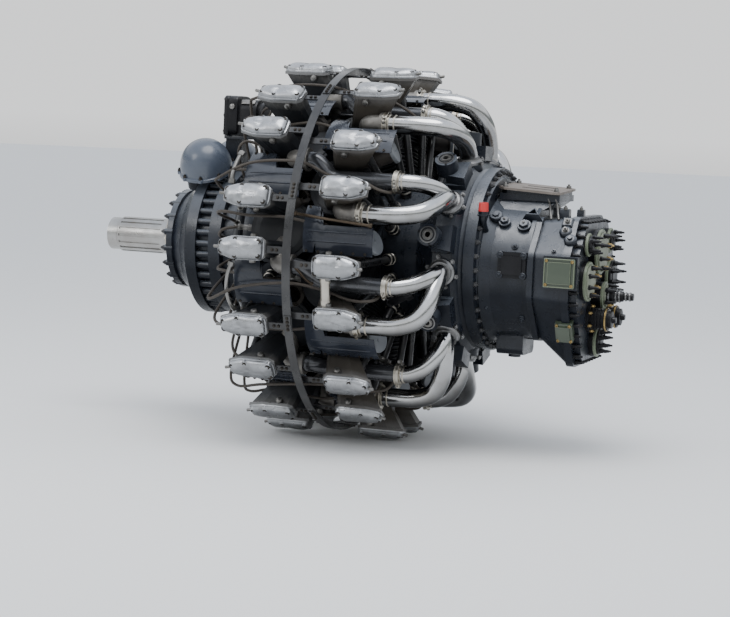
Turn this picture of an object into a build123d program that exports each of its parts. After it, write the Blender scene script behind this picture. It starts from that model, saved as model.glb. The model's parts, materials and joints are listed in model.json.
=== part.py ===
from build123d import *
import os
from math import cos, radians, sin, tan

# Two-row, air-cooled radial engine. Millimetres. X runs along the crankshaft
# and points to the accessory end, Z is up. The origin is on the crankshaft axis
# in the plane of the nine mounting brackets. Angles are counted from the top
# towards -Y.

# Layout of the two rows
CYLINDERS = 9                   # in each row
FRONT_AXIS_X = -510.0           # cylinder axes of the front row
REAR_AXIS_X = -320.0            # cylinder axes of the rear row
PITCH = 360.0 / CYLINDERS
ROW_ANGLES = {"front": [PITCH * k for k in range(CYLINDERS)],
              "rear": [PITCH * (k + 0.5) for k in range(CYLINDERS)]}
FIT_GAP = 0.3                   # assembly clearance between curved neighbours
RUNNING_GAP = 0.05              # radial clearance of a turning shaft

# Cylinders
BORE_R = 73.0
SKIRT_R = 80.0
SEAT_R = 240.0                  # from the crankshaft axis to the cylinder seat
SKIRT_END_R = 222.0
FLANGE_RADIUS = 82.0
FLANGE_T = 10.0
BARREL_R = 86.0                 # radius at the root of the barrel fins
BARREL_FIN_R = 100.0
BARREL_FINS = 9
BARREL_TOP_R = 392.0
HEAD_ROOT_R = 98.0
HEAD_FIN_R = 113.0
HEAD_FINS = 7
HEAD_TOP_R = 484.0
HEAD_CROWN_R = 487.0
CHAMBER_TOP_R = 440.0
FIN_T = 4.5

# Rocker boxes and their covers
ROCKER_ANGLE = 8.0              # each side of the cylinder axis
ROCKER_SHIFT = 75.0             # cover centre, away from the other row
ROCKER_BASE_R = 465.0
ROCKER_SEAT_R = 640.0           # where the cover is bolted on
BOX_FLANGE_T = 10.0
COVER_LENGTH = 168.0
COVER_WIDTH = 80.0
COVER_NOSE_WIDTH = 46.0
COVER_H = 30.0
COVER_RIM_T = 7.0

# Nose
SHAFT_TIP_X = -1386.0
SHAFT_THREAD_R = 60.0
SHAFT_SPLINE_R = 65.0
SHAFT_COLLAR_R = 70.0
SHAFT_BORE_R = 30.0
SPLINES = 16
NOSE_TIP_X = -1128.0
NOSE_FLANGE_X = -1076.0
NOSE_FLANGE_R = 180.0
NOSE_JOINT_X = -945.0
NOSE_JOINT_R = 268.0
FRONT_CASE_REAR_X = -857.0
FRONT_CASE_REAR_R = 262.0
RIM_BOSSES = 40
RIM_BOSS_R = 12.0
FLANGE_W = 22.0
THREAD_LENGTH = 40.0
THRUST_SEAT_R = 98.0            # outside of the thrust bearing
THRUST_COVER_R = 116.0
THRUST_COVER_T = 20.0
THRUST_NUTS_R = 102.0
NOSE_NUTS_R = 170.0
RIM_BOSSES_R = 250.0            # circle of the rim bosses' centres

# Crankcase
CASE_R = 232.0
CASE_BORE_R = 206.0
ROW_HALF_LENGTH = 88.0
CASE_FRONT_END_X = -640.0
CASE_REAR_X = -120.0
MAIN_BORE_R = 62.0
WEB_T = 20.0

# Blower and accessory section
BLOWER_RIM_R = 345.0
BLOWER_FLANGE_X = 114.0
BLOWER_FLANGE_R = 322.0
DRUM_HALF_WIDTH = 262.0
DRUM_TOP = 206.0
DRUM_BOTTOM = -268.0
DRUM_REAR_X = 308.0
ACCESSORY_REAR_X = 480.0
ACCESSORY_HALF_WIDTH = 284.0
ACCESSORY_TOP = 172.0
ACCESSORY_BOTTOM = -345.0
ACCESSORY_FRONT_BOTTOM = -272.0
CARB_TOP = 238.0
CARB_FRONT_X = 142.0
CARB_REAR_X = 372.0
CARB_HALF_WIDTH = 108.0
PLATE_T = 8.0
SIDE_SEAT_X = 254.0
SUMP_X = 206.0
SUMP = (96.0, 150.0, 110.0)
GREEN_COVER_X = 426.0           # middle of the large green cover
PADS = [(-150, 60, 62, 30), (-170, -90, 58, 44), (-60, -220, 60, 34), (60, -220, 60, 34),
        (170, -90, 58, 44), (150, 60, 62, 30), (0, 70, 72, 46), (0, -80, 66, 60)]
PAD_LID_T = 9.0
DRUM_BOSSES = [(166.0, 48.0, 20.0, 16.0), (200.0, 44.0, 14.0, 19.0), (270.0, 42.0, 12.0, 22.0)]

# Mounting brackets
BRACKET_ANGLE = -2.5            # offset from the front cylinders
BRACKET_R = 412.0               # middle of the bush
BUSH_R = 29.0
BUSH_LENGTH = 56.0
MOUNT_BOLT_R = 9.0

# Intake
PIPE_R = 32.0
FRONT_PIPE_R = 29.0
PORT_X = 30.0
PORT_R = 372.0
PORT_DEPTH = 24.0
PORT_ANGLE = -4.5
PIPE_BEND = 120.0
ELBOW_R = 548.0
ELBOW_ANGLE = 13.7
ELBOW_REACH = {"front": 80.0, "rear": 106.0}
VALLEY_R = 520.0
VALLEY_ANGLE = -0.5             # of the front branch, from the rear cylinder
JOINT_X = -108.0                # clamp of the front branch
EXHAUST_R = 35.0
EXHAUST_END = {"front": (56.0, 524.0, -14.5), "rear": (158.0, 520.0, -17.0)}

# Ignition
PLUG_R = 460.0                  # outer face of the plug bosses
PLUG_REACH = 118.0
MANIFOLD_X = -752.0
MANIFOLD_R = 292.0
MANIFOLD_TUBE_R = 17.0
DOME_X = -978.0
DOME_ANGLE = 26.0
DOME_R = 98.0
DOME_H = 92.0
DOME_SEAT_R = 288.0
MAGNETO_X = -894.0
MAGNETO_SEAT = 392.0
MAGNETO_PLATE = (18.0, 132.0, 144.0)
MAGNETO_BODY = (104.0, 104.0, 132.0)

# Sheet metal and pipes
SHEET_T = 3.0
RING_X = -417.0
RING_W = 30.0
RING_OUTER_R = 655.0
RING_DEPTH = 29.0
PANEL_R = 545.0
PANEL_RISE = 16.0
PANEL_FOOT_R = 450.0
PANEL_HALF_ANGLE = 7.4
PANEL_FOOT_ANGLE = {"front": 5.8, "rear": 5.4}
PANEL_SPAN = {"front": (-114.0, -26.0), "rear": (-44.0, 168.0)}
PUSHROD_TUBE_R = 13.0
TAPPET_SHIFT = 132.0

SIDE = {"front": -1, "rear": 1}          # outer end of each row's rocker boxes
AXIS_X = {"front": FRONT_AXIS_X, "rear": REAR_AXIS_X}


def polar(x, r, angle):
    """Point at x along the shaft, r from it, angle from the top towards -Y."""
    a = radians(angle)
    return Vector(x, -r * sin(a), r * cos(a))


def turned(shape, angle):
    return Rot(angle, 0, 0) * shape


def lathe(points):
    """Solid of revolution about X from (x, r) corners."""
    face = make_face(Polyline(*[(x, 0, r) for x, r in points], close=True))
    return revolve(face, Axis.X)


def rod(start, end, radius):
    """Round bar from start to end."""
    run = Vector(*end) - Vector(*start)
    return Solid.make_cylinder(radius, run.length, Plane(origin=start, z_dir=run))


def tube(points, radius, bends):
    """Round pipe along straight runs that meet in arcs."""
    path = FilletPolyline(*points, radius=bends)
    start = Plane(origin=path @ 0, z_dir=path % 0)
    return sweep(start * Circle(radius), path=path)


def fused(shapes):
    shapes = list(shapes)
    return shapes[0].fuse(*shapes[1:]) if len(shapes) > 1 else shapes[0]


def solids_of(*shapes):
    return [solid for shape in shapes for solid in shape.solids()]


def propeller_shaft():
    body = lathe([(SHAFT_TIP_X, SHAFT_BORE_R), (SHAFT_TIP_X, SHAFT_THREAD_R),
                  (SHAFT_TIP_X + THREAD_LENGTH, SHAFT_THREAD_R),
                  (SHAFT_TIP_X + THREAD_LENGTH + 4, SHAFT_SPLINE_R),
                  (NOSE_TIP_X - 22, SHAFT_SPLINE_R), (NOSE_TIP_X - 6, SHAFT_COLLAR_R),
                  (NOSE_FLANGE_X + 60, SHAFT_COLLAR_R), (NOSE_FLANGE_X + 60, 0),
                  (NOSE_FLANGE_X + 40, 0), (SHAFT_TIP_X + 60, SHAFT_BORE_R)])
    groove_length = NOSE_TIP_X - SHAFT_TIP_X - 90
    groove = Box(groove_length, 9, 12)
    middle = SHAFT_TIP_X + 50 + groove_length / 2
    grooves = [turned(Pos(middle, 0, SHAFT_SPLINE_R + 2) * groove, 360 * k / SPLINES)
               for k in range(SPLINES)]
    return body.cut(*grooves)


def thrust_bearing():
    inner = SHAFT_COLLAR_R + RUNNING_GAP
    front, rear = NOSE_TIP_X + THRUST_COVER_T + 2, NOSE_TIP_X + 58
    return lathe([(front, inner), (front, THRUST_SEAT_R), (rear, THRUST_SEAT_R), (rear, inner)])


def thrust_cover():
    inner = SHAFT_COLLAR_R + RUNNING_GAP
    rear = NOSE_TIP_X + THRUST_COVER_T
    plate = lathe([(NOSE_TIP_X, inner), (NOSE_TIP_X, 84), (NOSE_TIP_X + 8, 92),
                   (NOSE_TIP_X + 8, THRUST_COVER_R - 4), (rear, THRUST_COVER_R), (rear, inner)])
    nuts = [rod(polar(NOSE_TIP_X + 2, THRUST_NUTS_R, a), polar(NOSE_TIP_X + 9, THRUST_NUTS_R, a), 6)
            for a in range(0, 360, 45)]
    return fused([plate] + nuts)


def nose_case():
    x0, x1 = NOSE_TIP_X + THRUST_COVER_T, NOSE_FLANGE_X
    seat = THRUST_SEAT_R + FIT_GAP
    shell = lathe([(x0, seat), (x0, THRUST_COVER_R), (x0 + 12, 124), (x1 - 10, 158), (x1 - 8, NOSE_FLANGE_R),
                   (x1 + 14, NOSE_FLANGE_R), (x1 + 18, 172), (x1 + 56, 200), (x1 + 92, 238),
                   (NOSE_JOINT_X - FLANGE_W, 246), (NOSE_JOINT_X - FLANGE_W, NOSE_JOINT_R),
                   (NOSE_JOINT_X, NOSE_JOINT_R), (NOSE_JOINT_X, 232), (x1 + 92, 222),
                   (x1 + 50, 182), (x1 + 10, 150), (NOSE_TIP_X + 60, 120), (NOSE_TIP_X + 60, seat)])
    bosses = [rod(polar(x1 - 16, NOSE_NUTS_R, a), polar(x1 + 16, NOSE_NUTS_R, a), 12)
              for a in range(0, 360, 20)]
    neck_x = NOSE_JOINT_X - 46
    necks = [rod(polar(neck_x, 226, a), polar(neck_x, DOME_SEAT_R, a), 44)
             for a in (DOME_ANGLE, -DOME_ANGLE)]
    return fused([shell] + bosses + necks)


def front_accessory_case():
    x0, x1 = NOSE_JOINT_X, FRONT_CASE_REAR_X
    shell = lathe([(x0, 226), (x0, NOSE_JOINT_R), (x0 + 18, NOSE_JOINT_R), (x0 + 20, 240),
                   (x1 - FLANGE_W, 240), (x1 - FLANGE_W, FRONT_CASE_REAR_R),
                   (x1, FRONT_CASE_REAR_R), (x1, 214)])
    boss = rod((x0 + 10, 0, RIM_BOSSES_R), (x1 - 8, 0, RIM_BOSSES_R), RIM_BOSS_R)
    bosses = [turned(boss, 360 * k / RIM_BOSSES) for k in range(RIM_BOSSES)]
    pedestal = Pos(MAGNETO_X, 0, (MAGNETO_SEAT + 232) / 2) * Box(64, 60, MAGNETO_SEAT - 232)
    return fused([shell] + bosses + [pedestal])


def distributor_dome(angle):
    """Bowl-shaped cover with a bolted rim, standing on its neck."""
    top = DOME_SEAT_R + DOME_H
    with BuildSketch(Plane.XZ) as profile:
        with BuildLine():
            Line((0, DOME_SEAT_R), (DOME_R, DOME_SEAT_R))
            Line((DOME_R, DOME_SEAT_R), (DOME_R, DOME_SEAT_R + 9))
            Line((DOME_R, DOME_SEAT_R + 9), (DOME_R - 10, DOME_SEAT_R + 12))
            ThreePointArc((DOME_R - 10, DOME_SEAT_R + 12), (DOME_R * 0.66, top - 26), (0, top))
            Line((0, top), (0, DOME_SEAT_R))
        make_face()
    bowl = revolve(profile.sketch, Axis.Z)
    lugs = [Pos((DOME_R - 3) * cos(radians(a)), (DOME_R - 3) * sin(radians(a)), DOME_SEAT_R + 6)
            * Cylinder(9, 12) for a in range(0, 360, 40)]
    return turned(Pos(DOME_X, 0, 0) * fused([bowl] + lugs), angle)


def magneto():
    """Block with a front plate, a rounded body, an end cap and a knob."""
    plate = Pos(MAGNETO_X - 48, 0, MAGNETO_SEAT + MAGNETO_PLATE[2] / 2) * Box(*MAGNETO_PLATE)
    plate = fillet(plate.edges().filter_by(Axis.X), 18)
    body = Pos(MAGNETO_X + 12, 0, MAGNETO_SEAT + MAGNETO_BODY[2] / 2) * Box(*MAGNETO_BODY)
    body = fillet(body.edges().filter_by(Axis.X).group_by(Axis.Z)[-1], 40)
    cap = rod((MAGNETO_X + 60, 0, MAGNETO_SEAT + 84), (MAGNETO_X + 84, 0, MAGNETO_SEAT + 84), 38)
    knob = rod((MAGNETO_X - 66, 0, MAGNETO_SEAT + 100), (MAGNETO_X - 50, 0, MAGNETO_SEAT + 100), 20)
    return fused([plate, body, cap, knob])


def nonagon(x0, x1, first_angle):
    """Nine-sided prism between x0 and x1 with one flat facing first_angle."""
    corner = SEAT_R / cos(radians(PITCH / 2))
    ring = [polar(x0, corner, first_angle + PITCH * (k + 0.5)) for k in range(CYLINDERS)]
    face = make_face(Polyline(*ring, close=True))
    return extrude(face, amount=x1 - x0, dir=(1, 0, 0))


def cylinder_holes(row, axis_x):
    hole = rod((axis_x, 0, CASE_BORE_R - 40), (axis_x, 0, SEAT_R + 30), SKIRT_R + FIT_GAP)
    return [turned(hole, a) for a in ROW_ANGLES[row]]


def bored(solid, x0, x1, radius):
    return solid.cut(rod((x0, 0, 0), (x1, 0, 0), radius))


def crankcase_front():
    flange = lathe([(FRONT_CASE_REAR_X, 0), (FRONT_CASE_REAR_X, FRONT_CASE_REAR_R),
                    (FRONT_CASE_REAR_X + FLANGE_W, FRONT_CASE_REAR_R),
                    (FRONT_CASE_REAR_X + FLANGE_W + 4, CASE_R + 6), (CASE_FRONT_END_X, CASE_R),
                    (FRONT_AXIS_X, CASE_R), (FRONT_AXIS_X, 0)])
    prism = nonagon(FRONT_AXIS_X - ROW_HALF_LENGTH, FRONT_AXIS_X, 0)
    body = flange.fuse(prism)
    body = bored(body, CASE_FRONT_END_X + 30, FRONT_AXIS_X, CASE_BORE_R)
    body = bored(body, FRONT_CASE_REAR_X, CASE_FRONT_END_X + 10, CASE_BORE_R)
    body = bored(body, FRONT_CASE_REAR_X, FRONT_AXIS_X, MAIN_BORE_R)
    return body.cut(*cylinder_holes("front", FRONT_AXIS_X))


def crankcase_center():
    middle = (FRONT_AXIS_X + REAR_AXIS_X) / 2
    core = rod((FRONT_AXIS_X, 0, 0), (REAR_AXIS_X, 0, 0), CASE_R)
    body = core.fuse(nonagon(FRONT_AXIS_X, FRONT_AXIS_X + ROW_HALF_LENGTH, 0),
                     nonagon(REAR_AXIS_X - ROW_HALF_LENGTH, REAR_AXIS_X, PITCH / 2))
    body = bored(body, FRONT_AXIS_X, middle - WEB_T / 2, CASE_BORE_R)
    body = bored(body, middle + WEB_T / 2, REAR_AXIS_X, CASE_BORE_R)
    body = bored(body, FRONT_AXIS_X, REAR_AXIS_X, MAIN_BORE_R)
    return body.cut(*cylinder_holes("front", FRONT_AXIS_X), *cylinder_holes("rear", REAR_AXIS_X))


def crankcase_rear():
    end = REAR_AXIS_X + ROW_HALF_LENGTH
    core = lathe([(REAR_AXIS_X, 0), (REAR_AXIS_X, CASE_R), (CASE_REAR_X - FLANGE_W, CASE_R),
                  (CASE_REAR_X - FLANGE_W, CASE_R + 14), (CASE_REAR_X, CASE_R + 14),
                  (CASE_REAR_X, 0)])
    body = core.fuse(nonagon(REAR_AXIS_X, end, PITCH / 2))
    body = bored(body, REAR_AXIS_X, end + 20, CASE_BORE_R)
    body = bored(body, end + 40, CASE_REAR_X, CASE_BORE_R)
    body = bored(body, REAR_AXIS_X, CASE_REAR_X, MAIN_BORE_R)
    return body.cut(*cylinder_holes("rear", REAR_AXIS_X))


def finned_barrel():
    """Barrel, head and their fins as one turned form about Z."""
    points = [(BORE_R, SKIRT_END_R), (SKIRT_R, SKIRT_END_R), (SKIRT_R, SEAT_R),
              (FLANGE_RADIUS, SEAT_R), (FLANGE_RADIUS, SEAT_R + FLANGE_T),
              (BARREL_R, SEAT_R + FLANGE_T + 4)]
    first = SEAT_R + FLANGE_T + 16
    points += fin_steps(first, BARREL_TOP_R, BARREL_FINS, BARREL_R, BARREL_FIN_R)
    points += fin_steps(BARREL_TOP_R + 6, HEAD_TOP_R, HEAD_FINS, HEAD_ROOT_R, HEAD_FIN_R)
    points += [(HEAD_ROOT_R, HEAD_TOP_R), (HEAD_ROOT_R - 20, HEAD_CROWN_R), (0, HEAD_CROWN_R),
               (0, CHAMBER_TOP_R), (BORE_R * 0.7, CHAMBER_TOP_R - 10), (BORE_R, CHAMBER_TOP_R - 34)]
    face = make_face(Polyline(*[(r, 0, z) for r, z in points], close=True))
    return revolve(face, Axis.Z)


def fin_steps(start, end, count, root, tip):
    pitch = (end - start) / count
    steps = []
    for k in range(count):
        z = start + k * pitch
        edge = min(tip, z * tan(radians(PITCH / 2)) - 1.5)
        steps += [(root, z), (edge, z), (edge, z + FIN_T), (root, z + FIN_T)]
    return steps


def cover_outline(side, length, width, nose):
    """Six-cornered outline: wide at the inner end, narrow at the outer end."""
    half = length / 2
    return Polyline((side * half, -nose / 2), (side * half * 0.35, -width / 2),
                    (-side * half * 0.8, -width / 2), (-side * half, -width / 2 + 12),
                    (-side * half, width / 2 - 12), (-side * half * 0.8, width / 2),
                    (side * half * 0.35, width / 2), (side * half, nose / 2), close=True)


def rocker_box(side):
    """Box from the head up to the flange under the cover. side is the outer end."""
    low = Pos(0, 0, ROCKER_BASE_R) * make_face(cover_outline(side, 92, 48, 34))
    neck_z = ROCKER_SEAT_R - BOX_FLANGE_T
    centre = Pos(side * ROCKER_SHIFT, 0, 0)
    high = centre * Pos(0, 0, neck_z) * make_face(
        cover_outline(side, COVER_LENGTH - 12, COVER_WIDTH - 14, COVER_NOSE_WIDTH - 10))
    flange = centre * Pos(0, 0, neck_z) * extrude(make_face(
        cover_outline(side, COVER_LENGTH, COVER_WIDTH, COVER_NOSE_WIDTH)), BOX_FLANGE_T)
    return fused([loft([low, high]), flange])


def rocker_cover(side):
    """Pressed cover: a rim and a raised roof with sloped sides."""
    centre = Pos(side * ROCKER_SHIFT, 0, ROCKER_SEAT_R)
    rim = extrude(make_face(cover_outline(side, COVER_LENGTH, COVER_WIDTH, COVER_NOSE_WIDTH)),
                  COVER_RIM_T)
    foot = Pos(0, 0, COVER_RIM_T) * make_face(
        cover_outline(side, COVER_LENGTH - 14, COVER_WIDTH - 14, COVER_NOSE_WIDTH - 12))
    roof = Pos(0, 0, COVER_H) * make_face(
        cover_outline(side, COVER_LENGTH - 40, COVER_WIDTH - 34, COVER_NOSE_WIDTH - 26))
    screws = [Pos(x, y, COVER_RIM_T + 1) * Cylinder(7, 12) for x, y in cover_screws(side)]
    return centre * fused([rim, loft([foot, roof])] + screws)


def cover_screws(side):
    half = COVER_LENGTH / 2
    return [(side * (half - 12), s * (COVER_NOSE_WIDTH / 2 - 8)) for s in (-1, 1)] + \
        [(side * half * 0.25, s * (COVER_WIDTH / 2 - 9)) for s in (-1, 1)] + \
        [(-side * (half - 16), s * (COVER_WIDTH / 2 - 14)) for s in (-1, 1)]


def cylinder(row):
    """One cylinder with its head, rocker boxes and plug bosses, standing upright."""
    side = SIDE[row]
    boxes = [turned(rocker_box(side), a) for a in (-ROCKER_ANGLE, ROCKER_ANGLE)]
    bosses = [rod((s * 50, 0, PLUG_R - 22), (s * PLUG_REACH, 0, PLUG_R), 17) for s in (-1, 1)]
    return Pos(AXIS_X[row], 0, 0) * fused([finned_barrel()] + boxes + bosses)


def spark_plug(row, s):
    """Shielded plug with a hexagon, screwed into one boss."""
    start = Vector(AXIS_X[row] + s * PLUG_REACH, 0, PLUG_R)
    out = Vector(s * (PLUG_REACH - 50), 0, 22).normalized()
    seat = Plane(origin=start, z_dir=out)
    hexagon = extrude(seat * RegularPolygon(13, 6), 14)
    barrel = rod(start, start + out * 46, 9)
    return fused([hexagon, barrel])


def intake_elbow(row, solid):
    """Curved adaptor between the side of a head and the pipe clamp."""
    x = AXIS_X[row]
    end = polar(x + ELBOW_REACH[row], ELBOW_R, ELBOW_ANGLE)
    points = [polar(x + 10, 462, 5), polar(x + ELBOW_REACH[row] - 62, ELBOW_R, ELBOW_ANGLE), end]
    flange = rod(end - Vector(12, 0, 0), end, PIPE_R + 8)
    return largest(fused([tube(points, PIPE_R - 1, 36), flange]).cut(solid))


def largest(shape):
    return max(shape.solids(), key=lambda solid: solid.volume)


def exhaust_ends(row):
    reach, r, angle = EXHAUST_END[row]
    return polar(AXIS_X[row] + 12, 466, -10), polar(AXIS_X[row] + reach, r, angle)


def exhaust_stub(row, solid):
    """Short flanged stub, open at its end, on the other side of a head."""
    start, end = exhaust_ends(row)
    out = (end - start).normalized()
    pipe = rod(start, end, EXHAUST_R)
    flange = rod(end - out * 12, end, EXHAUST_R + 9)
    hole = rod(end - out * 34, end + out * 4, EXHAUST_R - 6)
    return largest(fused([pipe, flange]).cut(hole, solid))


def pushrod_tubes(row, solid):
    """Two tubes from the crankcase to the rocker boxes of one cylinder."""
    side, x = SIDE[row], AXIS_X[row]
    tubes = []
    for angle in (-ROCKER_ANGLE, ROCKER_ANGLE):
        foot = polar(x + side * TAPPET_SHIFT, CASE_R + FIT_GAP, angle)
        head = polar(x + side * 96, 620, angle)
        run = (head - foot).normalized()
        whole = rod(foot, head, PUSHROD_TUBE_R)
        collar = rod(foot, foot + run * 22, PUSHROD_TUBE_R + 6)
        below = rod((x + side * TAPPET_SHIFT - 60, 0, 0), (x + side * TAPPET_SHIFT + 60, 0, 0),
                    CASE_R + FIT_GAP)
        trimmed = fused([whole, collar]).cut(solid, below)
        tubes.append(min(trimmed.solids(), key=lambda piece: piece.center().Z))
    return tubes


def pipe_points(angle):
    """Corner points of the two branches of one Y-shaped intake pipe."""
    port = polar(PORT_X, PORT_R, angle + PORT_ANGLE)
    joint = polar(REAR_AXIS_X + ELBOW_REACH["rear"], ELBOW_R, angle + ELBOW_ANGLE)
    rear = [joint, joint + Vector(PORT_X - 22 - joint.X, 0, 0), port]
    valley = polar(JOINT_X, VALLEY_R, angle + VALLEY_ANGLE)
    front = [valley, valley + Vector(PORT_X - 52 - JOINT_X, 0, 0), port]
    return rear, front


def intake_pipe(angle):
    rear, front = pipe_points(angle)
    seat = PORT_R - PORT_DEPTH
    mouth = polar(PORT_X, seat, angle + PORT_ANGLE)
    parts = [tube(rear, PIPE_R, PIPE_BEND), tube(front, FRONT_PIPE_R, 70),
             rod(rear[-1], mouth, PIPE_R + 6), Pos(*rear[-1]) * Sphere(PIPE_R)]
    below = turned(Pos(PORT_X, 0, seat / 2) * Box(300, 300, seat), angle + PORT_ANGLE)
    return fused(parts).cut(below)


def front_intake_tube(angle):
    """Tube through the valley of a rear head to the front cylinder's elbow."""
    start = polar(JOINT_X, VALLEY_R, angle + VALLEY_ANGLE)
    end = polar(FRONT_AXIS_X + ELBOW_REACH["front"], ELBOW_R, angle - PITCH / 2 + ELBOW_ANGLE)
    points = [start, start + Vector(-232, 0, 0), end + Vector(26, 0, 0), end]
    return tube(points, FRONT_PIPE_R, [50, 50])


def ring_about(point, direction, inner, outer, width):
    """Flat hoop round a pipe."""
    out = Vector(*direction).normalized()
    low = point - out * (width / 2)
    return rod(low, low + out * width, outer).cut(rod(low, low + out * width, inner))


def intake_clamps(angle):
    rear, front = pipe_points(angle)
    along = Vector(1, 0, 0)
    return [ring_about(rear[0] + along * 9, along, PIPE_R + FIT_GAP, PIPE_R + 8, 14),
            ring_about(front[0], along, FRONT_PIPE_R + FIT_GAP, FRONT_PIPE_R + 9, 16)]


def blower_front_case():
    shell = lathe([(CASE_REAR_X, 60), (CASE_REAR_X, CASE_R + 14), (CASE_REAR_X + 22, CASE_R + 14),
                   (CASE_REAR_X + 30, 250), (-30, 318), (-8, BLOWER_RIM_R),
                   (58, BLOWER_RIM_R), (76, 318), (BLOWER_FLANGE_X - 20, 308),
                   (BLOWER_FLANGE_X - 20, BLOWER_FLANGE_R), (BLOWER_FLANGE_X, BLOWER_FLANGE_R),
                   (BLOWER_FLANGE_X, 290), (60, 290), (40, 320), (0, 320), (-20, 290),
                   (-60, 250), (-60, 60)])
    sockets = [rod(polar(PORT_X, 322, a + PORT_ANGLE),
                   polar(PORT_X, PORT_R - PORT_DEPTH, a + PORT_ANGLE), PIPE_R + 16)
               for a in ROW_ANGLES["rear"]]
    return fused([shell] + sockets)


def mount_bracket():
    """Forged arm from the rim of the blower case to one bush, at the top."""
    seat = BLOWER_RIM_R
    eye = rod((0, 0, BRACKET_R - BUSH_LENGTH / 2), (0, 0, BRACKET_R + BUSH_LENGTH / 2), BUSH_R + 9)
    arm = extrude(make_face(Polyline((0, -BUSH_R - 6, seat + 6), (0, BUSH_R + 6, seat + 6),
                                     (70, 46, seat + 6), (70, -46, seat + 6), close=True)), 44)
    foot = Pos(32, 0, seat + 6) * Box(76, 92, 20)
    body = fused([eye, arm, foot])
    rim = rod((-80, 0, 0), (120, 0, 0), BLOWER_RIM_R)
    hole = rod((0, 0, 0), (0, 0, 600), BUSH_R)
    return body.cut(rim, hole)


def mount_bush():
    low, high = BRACKET_R - BUSH_LENGTH / 2 - 2, BRACKET_R + BUSH_LENGTH / 2 + 2
    return rod((0, 0, low), (0, 0, high), BUSH_R).cut(rod((0, 0, low), (0, 0, high), MOUNT_BOLT_R))


def drum_section(x, grow):
    """Oval section of the rear blower case across the shaft."""
    height = (DRUM_TOP - DRUM_BOTTOM) / 2
    plane = Plane(origin=(x, 0, (DRUM_TOP + DRUM_BOTTOM) / 2), x_dir=(0, 1, 0), z_dir=(1, 0, 0))
    return plane * Ellipse(DRUM_HALF_WIDTH + grow, height + grow)


def drum_point(x, turn, out):
    """Point out beyond the drum's surface, turn degrees above its -Y side."""
    half, rise = DRUM_HALF_WIDTH, (DRUM_TOP - DRUM_BOTTOM) / 2
    c, s = cos(radians(turn)), sin(radians(turn))
    normal = Vector(0, -c / half, s / rise).normalized()
    return Vector(x, -half * c, (DRUM_TOP + DRUM_BOTTOM) / 2 + rise * s) + normal * out


def blower_rear_case():
    """Oval drum with a round front flange and the carburettor pedestal on its top."""
    x0, x1 = BLOWER_FLANGE_X, DRUM_REAR_X
    flange = lathe([(x0, 0), (x0, BLOWER_FLANGE_R), (x0 + 18, BLOWER_FLANGE_R), (x0 + 20, 292),
                    (x0 + 26, 286), (x0 + 26, 0)])
    shoulder = loft([drum_section(x0 + 26, 22), drum_section(x0 + 60, 2)])
    drum = loft([drum_section(x0 + 60, 2), drum_section(x1 - 14, 0)])
    rim = extrude(drum_section(x1 - 14, 8), 14)
    middle = (CARB_FRONT_X + CARB_REAR_X) / 2
    low = Pos(215, 0, ACCESSORY_TOP + 1) * Rectangle(150, 250)
    high = Pos(middle, 0, CARB_TOP - 22) * Rectangle(200, 186)
    throat = loft([low, high])
    pad = Pos(middle, 0, CARB_TOP - 11) * Box(CARB_REAR_X - CARB_FRONT_X - 16,
                                              2 * CARB_HALF_WIDTH - 12, 22)
    bosses = [rod(drum_point(x, turn, -20), drum_point(x, turn, rise), r)
              for x, turn, rise, r in DRUM_BOSSES]
    seat = Pos(SIDE_SEAT_X, -DRUM_HALF_WIDTH + 4, 0) * Box(100, 24, 92)
    rib = Pos(SUMP_X, 0, DRUM_BOTTOM + 20) * Box(176, 12, 52)
    return fused([flange, shoulder, drum, rim, throat, pad, seat, rib] + bosses)


def carburettor_cover():
    """Blanking plate on the carburettor flange, with two slots."""
    middle = (CARB_FRONT_X + CARB_REAR_X) / 2
    plate = Pos(middle, 0, CARB_TOP + PLATE_T / 2) * Box(
        CARB_REAR_X - CARB_FRONT_X, 2 * CARB_HALF_WIDTH, PLATE_T)
    plate = chamfer(plate.edges().filter_by(Axis.Z), 26)
    slots = [Pos(middle + 18, y, CARB_TOP + PLATE_T) * Box(120, 12, 8) for y in (-28, 28)]
    return plate.cut(*slots)


def accessory_section(x, margin, low):
    """Round top, straight sides and a belly that hangs to low."""
    half, top, base = ACCESSORY_HALF_WIDTH - margin, ACCESSORY_TOP - margin, low + margin
    corners = [(-half + 110, top), (half - 110, top), (half, 40), (half, -110),
               (half - 130, base), (-half + 130, base), (-half, -110), (-half, 40)]
    outline = make_face(Polyline(*[(y, z) for y, z in corners], close=True))
    plane = Plane(origin=(x, 0, 0), x_dir=(0, 1, 0), z_dir=(1, 0, 0))
    return plane * fillet(outline.vertices(), 56 - margin)


def accessory_case():
    """Rear case: a front flange, a belly that deepens rearwards and a bolted rear wall."""
    x0, x1 = DRUM_REAR_X, ACCESSORY_REAR_X
    front = extrude(accessory_section(x0, 8, ACCESSORY_FRONT_BOTTOM), 20)
    body = loft([accessory_section(x0 + 20, 18, ACCESSORY_FRONT_BOTTOM),
                 accessory_section(x1 - 50, 6, ACCESSORY_BOTTOM)])
    rear = extrude(accessory_section(x1 - 50, 0, ACCESSORY_BOTTOM), 26)
    wall = extrude(accessory_section(x1 - 24, 22, ACCESSORY_BOTTOM), 24)
    plinth = Pos(GREEN_COVER_X, -ACCESSORY_HALF_WIDTH + 8, -14) * Box(118, 30, 112)
    return fused([front, body, rear, wall, plinth])


def rear_pads():
    """Round and square accessory pads on the rear wall, each with its blank cover."""
    x = ACCESSORY_REAR_X
    pads = []
    for y, z, r, depth in PADS:
        pad = rod((x, y, z), (x + depth, y, z), r)
        cover = rod((x + depth, y, z), (x + depth + PAD_LID_T, y, z), r - 6)
        pads.append(fused([pad, cover]))
    return pads


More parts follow.
